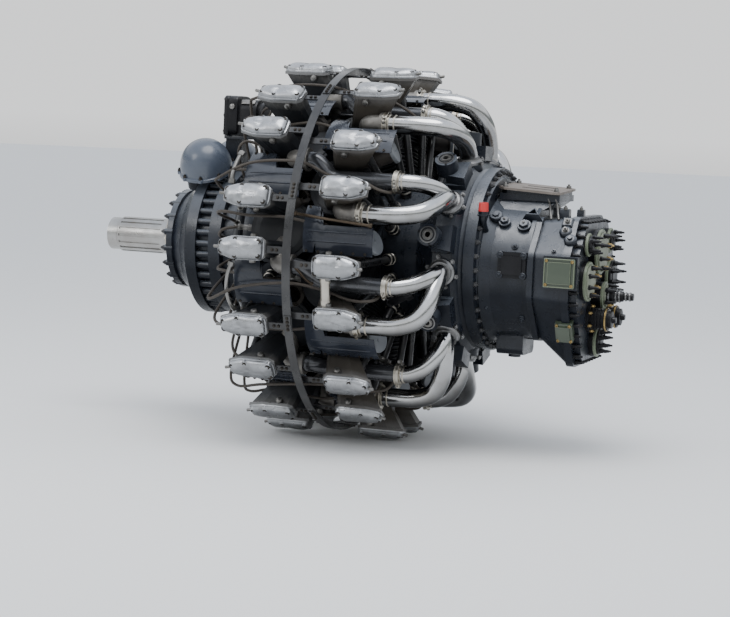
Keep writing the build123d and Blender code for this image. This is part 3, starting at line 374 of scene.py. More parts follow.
finishLooks = {
    # a painted highlight with some dust on what faces up, painted shade on what faces down
    "case_paint": dict(base=(0.008, 0.0105, 0.016), worn=(0.020, 0.025, 0.036), dirt=(0.006, 0.006, 0.006),
                       rough=(0.20, 0.42), sheenDown=(0.12, 0.95), dustAndPaintedHighlight=0.34, paintedShadeBelow=0.6, grain=180.0,
                       bump=0.25),
    "cylinder_black": dict(base=(0.009, 0.010, 0.012), worn=(0.022, 0.022, 0.023), dirt=(0.035, 0.028, 0.02),
                           rough=(0.28, 0.5), sheenDown=(0.1, 0.4), dirtAmount=0.35,
                           bands=[(0.596, 0.624, 0.8, (0.10, 0.097, 0.092)),
                                  (0.628, 0.632, 0.6, (0.26, 0.26, 0.26))]),
    "head_dirty": dict(base=(0.009, 0.010, 0.012), worn=(0.022, 0.022, 0.023), dirt=(0.045, 0.034, 0.024),
                       rough=(0.28, 0.5), sheenDown=(0.1, 0.4), dirtAmount=0.6, dirtScale=38.0,
                       bands=[(0.500, 0.560, 0.6, (0.085, 0.074, 0.060)),
                              (0.600, 0.628, 0.7, (0.15, 0.145, 0.14))]),
    "tube_black": dict(base=(0.012, 0.012, 0.013), worn=(0.05, 0.05, 0.05), dirt=(0.03, 0.027, 0.024),
                       rough=(0.22, 0.4), coat=0.2),
    # dust with a faint painted highlight on what faces up
    "gloss_baffle": dict(base=(0.016, 0.019, 0.027), worn=(0.036, 0.042, 0.055), dirt=(0.010, 0.009, 0.009),
                         rough=(0.12, 0.30), sheenDown=(0.15, 0.9), coat=0.25, dustAndPaintedHighlight=0.08, grain=120.0,
                         bump=0.06),
    "blue_grey": dict(base=(0.060, 0.074, 0.100), worn=(0.085, 0.102, 0.130), dirt=(0.03, 0.034, 0.04),
                      rough=(0.24, 0.38), coat=0.3, grain=240.0, bump=0.08),
    "satin_black": dict(base=(0.007, 0.007, 0.008), worn=(0.016, 0.016, 0.018), dirt=(0.03, 0.029, 0.027),
                        rough=(0.26, 0.45), sheenDown=(0.1, 0.4), grain=240.0),
    # painted shade on what faces down
    "silver_cover": dict(base=(0.44, 0.45, 0.465), worn=(0.25, 0.25, 0.25), dirt=(0.09, 0.08, 0.07),
                         rough=(0.24, 0.42), metallic=0.85, dirtAmount=0.5, paintedShadeBelow=0.5, grain=220.0, bump=0.15,
                         patchScale=24.0, dirtScale=30.0),
    # a painted dark reflection on what faces down
    "polished_pipe": dict(base=(0.56, 0.56, 0.56), worn=(0.36, 0.345, 0.32), dirt=(0.20, 0.165, 0.12),
                          rough=(0.09, 0.24), metallic=1.0, dirtAmount=0.25, dirtStrength=0.5, paintedShadeBelow=0.8,
                          grain=90.0, bump=0.05, stretch=(1.0, 6.0, 6.0), patchScale=11.0),
    "clamp_metal": dict(base=(0.50, 0.47, 0.41), worn=(0.36, 0.32, 0.26), dirt=(0.12, 0.09, 0.06),
                        rough=(0.25, 0.45), metallic=1.0, grain=160.0),
    "cast_elbow": dict(base=(0.20, 0.19, 0.175), worn=(0.10, 0.092, 0.08), dirt=(0.05, 0.038, 0.027),
                       rough=(0.35, 0.6), metallic=0.8, dirtAmount=0.6, grain=150.0, bump=0.35),
    "dark_tube": dict(base=(0.045, 0.047, 0.052), worn=(0.10, 0.10, 0.105), dirt=(0.03, 0.025, 0.02),
                      rough=(0.14, 0.32), metallic=0.5, coat=0.3, grain=120.0),
    "rusty_stub": dict(base=(0.040, 0.036, 0.033), worn=(0.075, 0.062, 0.050), dirt=(0.11, 0.075, 0.048),
                       rough=(0.45, 0.7), metallic=0.4, dirtAmount=0.4, grain=130.0, bump=0.4),
    "plated_steel": dict(base=(0.20, 0.195, 0.185), worn=(0.10, 0.093, 0.08), dirt=(0.06, 0.045, 0.03),
                         rough=(0.3, 0.5), metallic=0.9),
    "bare_steel": dict(base=(0.42, 0.42, 0.41), worn=(0.26, 0.24, 0.22), dirt=(0.10, 0.08, 0.06),
                       rough=(0.25, 0.45), metallic=1.0, grain=150.0, stretch=(0.2, 3.0, 3.0)),
    "bush_steel": dict(base=(0.22, 0.22, 0.22), worn=(0.12, 0.115, 0.11), dirt=(0.05, 0.045, 0.04),
                       rough=(0.3, 0.5), metallic=0.9),
    "olive_cover": dict(base=(0.045, 0.060, 0.038), worn=(0.065, 0.083, 0.055), dirt=(0.02, 0.025, 0.018),
                        rough=(0.3, 0.48), coat=0.2, grain=150.0, bump=0.1),
    "olive_light": dict(base=(0.13, 0.155, 0.10), worn=(0.20, 0.22, 0.16), dirt=(0.05, 0.05, 0.04),
                        rough=(0.35, 0.5)),
    "pad_grey": dict(base=(0.155, 0.170, 0.125), worn=(0.23, 0.24, 0.185), dirt=(0.04, 0.04, 0.035),
                     rough=(0.45, 0.65)),
    "red_plastic": dict(base=(0.55, 0.035, 0.03), worn=(0.42, 0.03, 0.028), dirt=(0.2, 0.02, 0.02),
                        rough=(0.3, 0.45), grain=300.0, bump=0.05),
    "bare_plate": dict(base=(0.17, 0.145, 0.125), worn=(0.28, 0.25, 0.225), dirt=(0.09, 0.06, 0.045),
                       rough=(0.5, 0.72), metallic=0.35, dirtAmount=0.55, grain=110.0, bump=0.3),
    "conduit": dict(base=(0.020, 0.022, 0.026), worn=(0.05, 0.055, 0.06), dirt=(0.04, 0.035, 0.03),
                    rough=(0.25, 0.45), coat=0.3),
    "blank_grey": dict(base=(0.13, 0.14, 0.155), worn=(0.18, 0.19, 0.20), dirt=(0.05, 0.05, 0.05),
                       rough=(0.35, 0.5)),
    # near black and matt: soot, and painted shade in the plate's slots and deep in the stubs
    "sootAndPaintedShade": dict(base=(0.006, 0.0055, 0.005), worn=(0.018, 0.015, 0.012), dirt=(0.03, 0.024, 0.018),
                 rough=(0.75, 0.9), sheenDown=(0.05, 0.1), grain=150.0),
    "nut_dark": dict(base=(0.030, 0.030, 0.032), worn=(0.10, 0.10, 0.10), dirt=(0.015, 0.014, 0.013),
                     rough=(0.3, 0.5), metallic=0.6, grain=300.0),
    "silver_line": dict(base=(0.25, 0.245, 0.235), worn=(0.16, 0.15, 0.135), dirt=(0.10, 0.085, 0.07),
                        rough=(0.25, 0.4), metallic=0.9),
    "bronze_line": dict(base=(0.075, 0.056, 0.038), worn=(0.045, 0.036, 0.026), dirt=(0.04, 0.03, 0.02),
                        rough=(0.3, 0.45), metallic=0.8, grain=300.0),
    "braid": dict(base=(0.040, 0.032, 0.025), worn=(0.085, 0.070, 0.054), dirt=(0.018, 0.014, 0.011),
                  rough=(0.5, 0.7), dirtAmount=0.45, grain=900.0, bump=0.9),
    "brass": dict(base=(0.36, 0.26, 0.11), worn=(0.22, 0.165, 0.08), dirt=(0.1, 0.07, 0.03),
                  rough=(0.25, 0.4), metallic=1.0),
    "screw_dark": dict(base=(0.035, 0.031, 0.027), worn=(0.08, 0.07, 0.06), dirt=(0.015, 0.013, 0.012),
                       rough=(0.35, 0.55), metallic=0.8, grain=300.0),
}
finishes = {name: surfaceFinish(name, look) for name, look in finishLooks.items()}

# dirtier heads in the rear row, black paint on the pushrod tubes and the ring; the rest by slot
lookOf = {s["node"]: s["material_slot"] for s in frame["record"]["subparts"]}
lookOf.update({n: "head_dirty" for n in nodes if n.startswith("rear_cylinder")})
lookOf.update(pushrod_tubes="tube_black", baffle_ring="tube_black")
for nodeName, node in nodes.items():
    node.data.materials.clear()
    node.data.materials.append(finishes[lookOf[nodeName]])
print("finishes made:", len(finishes))

# camera, light and floor
sight = {
    "place": (2.0301, -6.7294, 0.4471),
    "ahead": (-0.3337, 0.9382, -0.0919),
    "up": (-0.0742, 0.0711, 0.9947),
    "lens": 97.42, "sensor": 36.0,
}
cameraData = bpy.data.cameras.new("camera")
cameraData.lens, cameraData.sensor_width = sight["lens"], sight["sensor"]
camera = placed("camera", cameraData)
ahead, upward = Vector(sight["ahead"]).normalized(), Vector(sight["up"])
rightward = ahead.cross(upward).normalized()
upward = rightward.cross(ahead)
facingView = Matrix((rightward, upward, -ahead)).transposed().to_4x4()
camera.matrix_world = Matrix.Translation(sight["place"]) @ facingView
bpy.context.scene.camera = camera

floorLook = {"radii": (0.0, 4.0, 60.0), "below": 0.004, "colour": (0.80, 0.80, 0.79, 1), "rough": 0.85}
floorLevel = cadBox[0].z - floorLook["below"]
floorPoints, floorQuads = spun([(floorLevel, r) for r in floorLook["radii"]], 64)
floorMesh = bpy.data.meshes.new("floor")
floorMesh.from_pydata(floorPoints, [], floorQuads)
floor = placed("floor", floorMesh)
floorPaint = bpy.data.materials.new("paleFloor")
floorPaint.use_nodes = True
floorShader = floorPaint.node_tree.nodes["Principled BSDF"]
floorShader.inputs["Base Color"].default_value = floorLook["colour"]
floorShader.inputs["Roughness"].default_value = floorLook["rough"]
floorMesh.materials.append(floorPaint)

lightLook = {
    "strength": 1.3,
    # height of the direction looked in, from -1 to 1, and the grey or colour seen there
    "bands": [(-0.08, (0.30, 0.30, 0.30)), (0.0, (0.92, 0.93, 0.94)), (0.08, (0.92, 0.93, 0.94)),
              (0.13, (0.22, 0.24, 0.23)), (0.30, (0.26, 0.28, 0.29)), (0.42, (1.05, 1.08, 1.12)),
              (0.90, (0.85, 0.92, 1.05))],
    # place, diameter and power of the soft lamps, and what both shine at
    "lamps": {"overhead": ((0.2, -1.5, 4.6), 3.6, 190.0), "leftSide": ((-4.0, -4.5, 2.6), 2.4, 60.0)},
    "target": (-0.5, 0, 0),
}
world = bpy.data.worlds.new("studio")
bpy.context.scene.world = world
world.use_nodes = True
sky = world.node_tree
split = sky.nodes.new("ShaderNodeSeparateXYZ")
ramp = sky.nodes.new("ShaderNodeValToRGB")
lift = sky.nodes.new("ShaderNodeMapRange")
lift.inputs["From Min"].default_value, lift.inputs["From Max"].default_value = -1.0, 1.0
sky.links.new(sky.nodes.new("ShaderNodeTexCoord").outputs["Generated"], split.inputs["Vector"])
sky.links.new(split.outputs["Z"], lift.inputs["Value"])
sky.links.new(lift.outputs["Result"], ramp.inputs["Fac"])
stops = ramp.color_ramp.elements
stops.remove(stops[1])
for k, (height, colour) in enumerate(lightLook["bands"]):
    stop = stops[0] if k == 0 else stops.new((height + 1) / 2)
    stop.position, stop.color = (height + 1) / 2, (*colour, 1)
sky.links.new(ramp.outputs["Color"], sky.nodes["Background"].inputs["Color"])
sky.nodes["Background"].inputs["Strength"].default_value = lightLook["strength"]
for name, (place, size, power) in lightLook["lamps"].items():
    lampData = bpy.data.lights.new(name, "AREA")
    lampData.shape, lampData.size, lampData.energy = "DISK", size, power
    lamp = placed(name, lampData)
    lamp.location = place
    lamp.rotation_mode = "QUATERNION"
    lamp.rotation_quaternion = (Vector(lightLook["target"]) - Vector(place)).to_track_quat("-Z", "Y")
print("camera, light and floor made")


# small fasteners, each standing on its own Z = 0
def nut(flats, height, stud=0.0):
    # a six-sided nut with a chamfered top, its stud standing out of it by the given length
    r = flats / math.sqrt(3)
    body = solidSpun([(-sunk, r), (height * 0.82, r), (height, r * 0.86)], 6)
    washer = solidSpun([(-sunk, r * 1.22), (height * 0.14, r * 1.22)], 14)
    parts = [body, washer]
    if stud:
        tip = r * 0.48
        parts.append(solidSpun([(0, tip), (height + stud * 0.8, tip), (height + stud, tip * 0.7)], 10))
    return joined(parts)


def socketScrew(radius, height):
    # a round head with a hollow six-sided socket
    return solidSpun([(-sunk, radius), (height * 0.8, radius), (height, radius * 0.88),
                      (height, radius * 0.55), (height * 0.35, radius * 0.5)], 12)


def cappedStud(radius, height):
    # a nut under a blunt protective cap with a rolled lip
    base = solidSpun([(-sunk, radius * 1.55), (height * 0.2, radius * 1.55)], 6)
    cap = solidSpun([(0, radius * 1.25), (height * 0.34, radius * 1.2), (height * 0.38, radius),
                     (height * 0.72, radius * 0.95), (height * 0.78, radius * 0.7),
                     (height * 0.97, radius * 0.6), (height, radius * 0.35)], 14)
    return joined([base, cap])


# rocker covers: a pressed dome on a flat rim, six bosses with socket screws, a stud at the outer end
coverLook = {
    "length": 0.168, "width": 0.080, "nose": 0.046, "height": 0.030, "rim": 0.007, "ring": 64, "steps": 12,
    "bossRadius": 0.0135, "bossTop": 0.019, "screw": (0.0084, 0.0045),
    # height and radius of the stud at the outer end and of the nubs on the flanks, and the nubs' place
    "stud": [(0, 0.0055), (0.016, 0.0055), (0.018, 0.004)],
    "nub": [(0, 0.012), (0.012, 0.011), (0.014, 0.008)], "nubX": 0.034, "nubIn": 0.004, "nubHeight": -0.020,
    "dip": (0.004, 0.012, 0.022),      # the hollow across the roof: depth, place, half its length
}
halfLength, halfWidth, halfNose = (coverLook[key] / 2 for key in ("length", "width", "nose"))


def coverOutline(side, count):
    # the eight-cornered outline rounded by averaging each point with its neighbours a few times
    upper = np.array([(halfLength, halfNose), (halfLength * 0.35, halfWidth),
                      (-halfLength * 0.8, halfWidth), (-halfLength, halfWidth - 0.012)])
    line = walked(np.vstack([upper * (1, -1), upper[::-1]]) * (side, 1), count)
    for _ in range(3):
        line = (np.roll(line, 1, 0) + 2 * line + np.roll(line, -1, 0)) / 4
    return line


def coverScrews(side):
    # two at the nose, two at the middle, two at the tail
    spots = [(halfLength - 0.017, halfNose - 0.010), (halfLength * 0.2, halfWidth - 0.0135),
             (0.017 - halfLength, halfWidth - 0.0165)]
    return np.array([(side * x, s * y, 0.0) for x, y in spots for s in (-1, 1)])


def coverShell(side):
    # the outline draws in to a ridge as it rises: height = rim + rise * sin(t)^0.75 and
    # inset = (1 - cos t)^0.8; a dip in the shape of a bell curve runs across the roof
    line = coverOutline(side, coverLook["ring"])
    rim, top = coverLook["rim"], coverLook["height"]
    t = np.linspace(0, np.pi / 2, coverLook["steps"])
    ridge = line * (0.55, 0.12)
    inset = (1 - np.cos(t)) ** 0.8
    dome = line[None] * 0.955 * (1 - inset)[:, None, None] + ridge[None] * inset[:, None, None]
    depth, middle, reach = coverLook["dip"]
    dip = depth * np.exp(-((line[:, 0] * side - middle) / reach) ** 2)
    height = rim + (top - rim) * np.sin(t) ** 0.75
    z = height[:, None] - dip[None] * np.sin(t)[:, None] ** 2
    roof = np.concatenate([dome, z[..., None]], -1)
    steps = ((0, 0.0), (0.5, 0.0), (1.006, 0.0), (1.006, rim - 0.001), (0.985, rim))
    foot = [level(line * size, z) for size, z in steps]
    return grid(np.concatenate([foot, roof, [level(line * 0, top - 0.002)]]), closedV=True)


shells, bosses, screws, studs, nubs = [], [], [], [], []
rim, radius, high = (coverLook[key] for key in ("rim", "bossRadius", "bossTop"))
for rowName, side, axis, angles in rows:
    spots = coverScrews(side)
    boss = solidSpun([(0, radius), (high - 0.003, radius * 0.93), (high, radius * 0.8),
                      (high - 0.001, radius * 0.7)], 18)
    screw = copies(socketScrew(*coverLook["screw"]), spots + (0, 0, high - 0.001), toTop)
    stud = copies(solidSpun(coverLook["stud"], 12), (side * (halfLength - 0.004), 0, rim + 0.002),
                  (side, 0, 0.25))
    nub = copies(solidSpun(coverLook["nub"], 16),
                 [(-side * coverLook["nubX"], s * (halfWidth - coverLook["nubIn"]), coverLook["nubHeight"])
                  for s in (-1, 1)], [(0, s, 0) for s in (-1, 1)])
    seat = (axis + side * layout["coverShift"], 0, layout["coverSeat"])
    for part, bag in ((coverShell(side), shells), (copies(boss, spots, toTop), bosses), (screw, screws),
                      (stud, studs), (nub, nubs)):
        bag += roundShaft(part, rockerTurns(angles), seat)
covers = addPiece("rockerCoverShells", shells + bosses, "silver_cover", sharp=50)
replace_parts(covers, "rocker_covers_front", "rocker_covers_rear")
addPiece("rockerCoverScrews", screws, "screw_dark", "plated_steel")
addPiece("rockerCoverStuds", studs + nubs, "plated_steel")
print("rocker covers made:", len(shells))

# intake pipes: polished Y pipes from the two heads of a pair down to a port on the blower rim
pipeLook = {
    "radius": {"rear": 0.032, "front": 0.029},
    # corners of the two branches as x, distance from the shaft, angle from the rear cylinder
    "rear": [(-0.214, 0.548, 13.7), (-0.150, 0.548, 13.7), (-0.075, 0.546, 13.4), (-0.012, 0.528, 11.6),
             (0.022, 0.484, 7.0), (0.031, 0.432, 0.8), (0.030, 0.385, -3.9), (0.030, 0.350, -4.5)],
    "front": [(-0.108, 0.520, -0.5), (-0.070, 0.519, -0.7), (-0.026, 0.497, -1.6), (0.006, 0.455, -2.9),
              (0.024, 0.410, -3.9), (0.030, 0.372, -4.5), (0.030, 0.350, -4.5)],
    "mouth": (0.030, 0.349, -4.5),
    "collarSteps": (2, 4),     # steps of the path from the open end to the two rolled beads
    "bead": (0.003, 0.0015, 0.0022),   # of a rolled bead: half its length at foot and top, its height
    # height and radius of the ring round a port; circle, count and first angle of its nuts; their size
    "ring": [(0, 0.032), (0, 0.046), (0.008, 0.046), (0.010, 0.042), (0.017, 0.0385), (0.020, 0.0375),
             (0.020, 0.030)],
    "nuts": (0.053, 6, 15), "nut": (0.011, 0.008, 0.004),
}
pipes, collars, portRings = [], [], []
portRing = spun(pipeLook["ring"], 36)
foot, flat, rise = pipeLook["bead"]
for a in rearAngles:
    for branch, r in pipeLook["radius"].items():
        path = carried(pipeLook[branch], 44, a)
        pipes.append(pipe(path, r, 32))
        collar = spun([(-foot, r), (-flat, r + rise), (flat, r + rise), (foot, r)], 32)
        collars += [copies(collar, path[k], path[k] - path[k + 1]) for k in pipeLook["collarSteps"]]
    x, radius, turn = pipeLook["mouth"]
    mouth, way = polar(x, radius, a + turn), outward(a + turn)
    portRings.append(copies(portRing, mouth, way))
    portRings.append(copies(nut(*pipeLook["nut"]), around(mouth, way, *pipeLook["nuts"]), way))
pipePiece = addPiece("intakePipesPolished", pipes, "polished_pipe", sharp=60)
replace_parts(pipePiece, "intake_pipes")
addPiece("intakePipeCollars", collars, "clamp_metal")
addPiece("portRings", portRings, "bush_steel")
print("intake pipes made:", len(pipes))

# cooling fins between the coarse ones of the solids: lowest, highest, count, radius at root and tip
finLook = {"barrel": (0.262, 0.386, 15, 0.085, 0.099), "head": (0.404, 0.480, 12, 0.097, 0.112),
           "thick": 0.0022, "apart": 0.002}
fins = []
for rowName, side, axis, angles in rows:
    for low, high, count, root, tip in (finLook["barrel"], finLook["head"]):
        for z in np.linspace(low, high, count):
            # the fins end before those of the next cylinder, half a pitch away
            edge = min(tip, z * math.tan(math.radians(layout["pitch"] / 2)) - finLook["apart"])
            t = finLook["thick"] / 2
            fin = spun([(z - t, root), (z - t * 0.6, edge), (z + t * 0.6, edge), (z + t, root)], 40)
            fins += roundShaft(fin, angles, (axis, 0, 0))
addPiece("coolingFins", fins, "cylinder_black", sharp=30)
print("fins made:", len(fins))

# rings of nuts and bolts on the joints of the housings
nutRings = [
    # x, radius, count, first angle, direction, flats, height, stud
    (-1.092, 0.170, 18, 0.0, fore, 0.015, 0.011, 0.006),
    (-0.867, 0.252, 40, 4.5, aft, 0.013, 0.008, 0.003),
    (-0.835, 0.250, 24, 7.5, aft, 0.013, 0.010, 0.005),
    (0.132, 0.308, 40, 4.5, aft, 0.015, 0.011, 0.005),
    (-0.112, 0.236, 27, 6.0, aft, 0.013, 0.010, 0.004),
]
nuts = []
for x, radius, count, first, way, flats, height, stud in nutRings:
    spots = polar(x, radius, first + np.arange(count) * 360 / count)
    nuts.append(copies(nut(flats, height, stud), spots, way))
addPiece("caseNuts", nuts, "nut_dark", "bush_steel")
print("case nuts made")

# rear end: capped studs round the wall, pads with lids and nuts, two ribbed pumps, the starter drive's end
rearLook = {
    "wallX": 0.480, "wallBolts": 40, "boltIn": 0.017, "boltX": 0.4565, "wallCap": (0.0062, 0.032),
    # the wall's outline: half width, top, base, heights of shoulders and waist, cuts at top and foot
    "half": 0.284, "top": 0.172, "base": -0.345, "shoulder": 0.040, "waist": -0.110, "topCut": 0.110,
    "footCut": 0.130,
    # the pads: radius and length of their caps, the lid's thickness and step inwards, softened edges; then
    # how many nuts and how far in, on the pads above and below the middling radius
    "padCap": (0.0056, 0.036), "lid": 0.009, "step": 0.006, "edge": 0.0015, "middling": 0.045,
    "largeNuts": (8, 0.014), "smallNuts": (5, 0.009),
    # across, up, radius, depth of the pads, how many of their nuts are brass, and whether the lid is dark
    "pads": [(-0.166, -0.044, 0.064, 0.020, 4, False), (-0.040, 0.052, 0.074, 0.028, 3, False),
             (0.166, -0.044, 0.064, 0.020, 0, True), (-0.165, 0.080, 0.036, 0.014, 0, True),
             (0.150, 0.084, 0.040, 0.016, 0, True), (0.0, -0.262, 0.050, 0.024, 0, True),
             (0.0, -0.100, 0.044, 0.040, 2, False)],
    "brassNut": (0.014, 0.013, 0.008),
    # the pumps: across, up, radius and length, count of ribs, height and radius of the end cap
    "pump": (0.070, -0.178, 0.038, 0.076), "ribs": 5, "pumpNut": (0.010, 0.008, 0.004),
    "pumpCap": [(0, 0.030), (0.010, 0.030), (0.012, 0.024), (0.012, 0.012), (0.024, 0.010)],
    # the starter drive's end: where it begins, and its steps as height and radius
    "drive": (0.528, 0.0, -0.100),
    "driveSteps": [(0.022, 0.028), (0.030, 0.021), (0.056, 0.018), (0.060, 0.013), (0.091, 0.013),
                   (0.092, 0.012)],
    # x and radius of the drive's collars
    "collars": [(0.534, 0.0300), (0.558, 0.0235), (0.570, 0.0225), (0.592, 0.0160), (0.606, 0.0160)],
}


def wallOutline(count, inset):
    # the rear wall's outline, walked at even steps, drawn in by the inset
    half, top, base = rearLook["half"] - inset, rearLook["top"] - inset, rearLook["base"] + inset
    right = np.array([(half - rearLook["topCut"], top), (half, rearLook["shoulder"]),
                      (half, rearLook["waist"]), (half - rearLook["footCut"], base)])
    left = right[::-1] * (-1, 1)
    return walked(np.vstack([left[-1:], right, left[:-1]]), count, 0.5)


wallX, lidThick, edge = (rearLook[key] for key in ("wallX", "lid", "edge"))
wall = wallOutline(rearLook["wallBolts"], rearLook["boltIn"])
wallSpots = np.insert(wall, 0, rearLook["boltX"], axis=1)
caps = [copies(cappedStud(*rearLook["wallCap"]), wallSpots, aft)]
brassNuts, padRims, padSleeves, pads = [], [], [], []
for y, z, r, depth, brass, dark in rearLook["pads"]:
    foot, face, top = (wallX, y, z), (wallX + depth, y, z), depth + lidThick
    count, inset = rearLook["largeNuts" if r > rearLook["middling"] else "smallNuts"]
    spots = around((wallX + depth + lidThick, y, z), aft, r - inset, count, 20)
    lid = r - rearLook["step"]
    pads.append(copies(solidSpun([(-sunk, r), (depth - edge, r), (depth, r - edge), (depth, lid),
                                  (top - edge, lid), (top, lid - edge)], 56), foot, aft))
    padRims.append(ringOf((wallX + depth - 0.006, y, z), aft, r - 0.0065, r + 0.004, 0.008, 48))
    padSleeves.append(ringOf((wallX - 0.001, y, z), aft, r - 0.004, r + 0.0025, depth - 0.008, 48))
    if dark:
        padSleeves.append(copies(solidSpun([(0, r - 0.0045), (0.008, r - 0.0045), (0.0105, r - 0.008),
                                            (0.0105, r * 0.5), (0.013, r * 0.45)], 40), face, aft))
    caps.append(copies(cappedStud(*rearLook["padCap"]), spots[brass:], aft))
    if brass:
        brassNuts.append(copies(nut(*rearLook["brassNut"]), spots[:brass], aft))
# the two ribbed pumps
y, z, r, length = rearLook["pump"]
ribs = [(-sunk, r + 0.010), (0.012, r + 0.010), (0.012, r - 0.006)]
for low in 0.020 + 0.012 * np.arange(rearLook["ribs"]):
    ribs += [(low, r - 0.006), (low + 0.001, r), (low + 0.005, r), (low + 0.006, r - 0.006)]
ribs.append((length, r - 0.006))
for y in (-y, y):
    caps.append(copies(solidSpun(ribs, 48), (wallX, y, z), aft))
    brassNuts.append(ringOf((wallX + length - 0.012, y, z), aft, r - 0.010, r + 0.003, 0.005, 40))
    spots = around((wallX + 0.012, y, z), aft, r + 0.005, 6)
    brassNuts.append(copies(nut(*rearLook["pumpNut"]), spots, aft))
    caps.append(copies(solidSpun(rearLook["pumpCap"], 24), (wallX + length - 0.001, y, z), aft))
addPiece("rearWallCaps", caps + padSleeves, "satin_black")
addPiece("rearPadNuts", brassNuts, "brass", "bush_steel")
addPiece("rearPadRims", padRims, "olive_light", "olive_cover")
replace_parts(addPiece("rearPads", pads, "pad_grey"), "rear_pads")
driveSteps = rearLook["driveSteps"]
driveEnd = copies(solidSpun([(-sunk, driveSteps[0][1]), *driveSteps], 40), rearLook["drive"], aft)
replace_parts(addPiece("starterDriveEnd", [driveEnd], "satin_black"), "starter_drive")
driveY, driveZ = rearLook["drive"][1:]
driveCollars = [ringOf((x, driveY, driveZ), aft, r - 0.004, r, 0.005, 28) for x, r in rearLook["collars"]]
addPiece("starterDriveCollars", driveCollars, "bush_steel")

# the covers on the near flank: middle, half width, half height of the screws' rectangle
slant = np.array([0.0, -0.861, -0.509])
sideLook = {
    "black": ((0.254, -0.2805, 0.0), 0.041, 0.034),
    "green": ((0.426, -0.303, -0.014), 0.0445, 0.0405),
    "small": ((0.436, -0.222, -0.216) + slant * 0.0095, 0.022, 0.031),
    # middle, half width, half height and thickness of the bars that frame the green cover
    "rims": [((0.426, -0.303, -0.014), 0.051, 0.047, 0.0022),
             ((0.426, -0.3065, -0.014), 0.039, 0.036, 0.0012)],
    "rimLift": 0.001,
    "nut": (0.011, 0.006, 0.003), "washer": (0.004, 0.012, 0.004),
    "greenScrew": (0.0058, 0.005), "smallScrew": (0.0055, 0.005),
}


def coverCorners(cover, normal=toSide):
    # the four corners of a cover's rectangle, which stands along the shaft and faces the normal
    middle, across, up = sideLook[cover]
    climb = np.cross(normal, aft)
    return [middle + aft * dx * across + climb * dz * up for dx in (-1, 1) for dz in (-1, 1)]


def coverRim(centre, across, up, bar):
    # four round-edged bars that frame a square cover
    other = np.cross(toSide, aft)
    middle = np.asarray(centre) + toSide * sideLook["rimLift"]
    sides = ((aft, other * up, across), (aft, -other * up, across), (other, aft * across, up),
             (other, -aft * across, up))
    return joined([pipe([middle + far - way * half, middle + far, middle + far + way * half], bar, 10)
                   for way, far, half in sides])


washer = ringOf((0, 0, 0), toTop, *sideLook["washer"], 20)
addPiece("blackCoverNuts", [copies(part, coverCorners("black"), toSide)
                            for part in (nut(*sideLook["nut"]), washer)], "case_paint")
greenScrews = copies(socketScrew(*sideLook["greenScrew"]), coverCorners("green"), toSide)
smallScrews = copies(socketScrew(*sideLook["smallScrew"]), coverCorners("small", slant), slant)
addPiece("greenCoverScrews", [greenScrews, smallScrews], "brass", "bush_steel")
addPiece("greenCoverRims", [coverRim(*rim) for rim in sideLook["rims"]], "olive_light", "olive_cover")
print("rear end made")

# blower and accessory flanks: bosses with nuts, the plug's collar, a three-cornered boss, thin oil lines
flankLook = {
    "half": 0.262, "middle": -0.031, "rise": 0.237,
    # x, degrees above the near side, height and radius of the round bosses with a pin
    "bosses": [(0.200, 44, 0.014, 0.019), (0.270, 42, 0.012, 0.022)],
    # x, degrees, width over the flats of the plain nuts
    "nuts": [(0.189, 79, 0.020), (0.253, 23, 0.014), (0.152, -22, 0.012), (0.160, -30, 0.012),
             (0.280, -40, 0.014)],
    # x, degrees and lift of the plug's old boss and of the three-cornered boss on the drum's shoulder
    "plugBoss": (0.166, 48, 0.020), "shoulderBoss": (0.292, 53, -0.002),
    # the accessory case's slanted flank: the way it faces, and where its fittings stand
    "slope": np.array([0.0, -0.768, 0.640]), "block": np.array([0.420, -0.1866, 0.148]),
    "plug": np.array([0.444, -0.2386, 0.0945]), "disc": np.array([0.420, -0.210, 0.120]),
    "lowNutAt": (0.394, -0.2605, 0.056),
    # the plug's nut, then the nut and stud of the slanted flank, then the nut low on it
    "plugNut": (0.022, 0.012), "nut": (0.016, 0.009), "stud": 0.006, "lowNut": (0.015, 0.007, 0.004),
    # two thin oil lines beside the plate: x, radius, corners measured from that x
    "lineX": (0.330, 0.356), "line": 0.0042,
    "lineCorners": [(-0.006, -0.098, 0.226), (0.0, -0.104, 0.212), (0.018, -0.150, 0.178),
                    (0.024, -0.162, 0.160)],
    # the square bosses on top: place and half width
    "topBosses": [(0.392, -0.120, 0.172, 0.024), (0.440, -0.090, 0.172, 0.018),
                  (0.352, -0.060, 0.172, 0.022)],
}


def flank(x, turn, out):
    # a point beyond the drum's oval, turn degrees above its -Y side, and the way out of it
    half, rise = flankLook["half"], flankLook["rise"]
    c, s = math.cos(math.radians(turn)), math.sin(math.radians(turn))
    way = np.array([0.0, -c / half, s / rise])
    way /= np.linalg.norm(way)
    return np.array([x, -half * c, flankLook["middle"] + rise * s]) + way * out, way


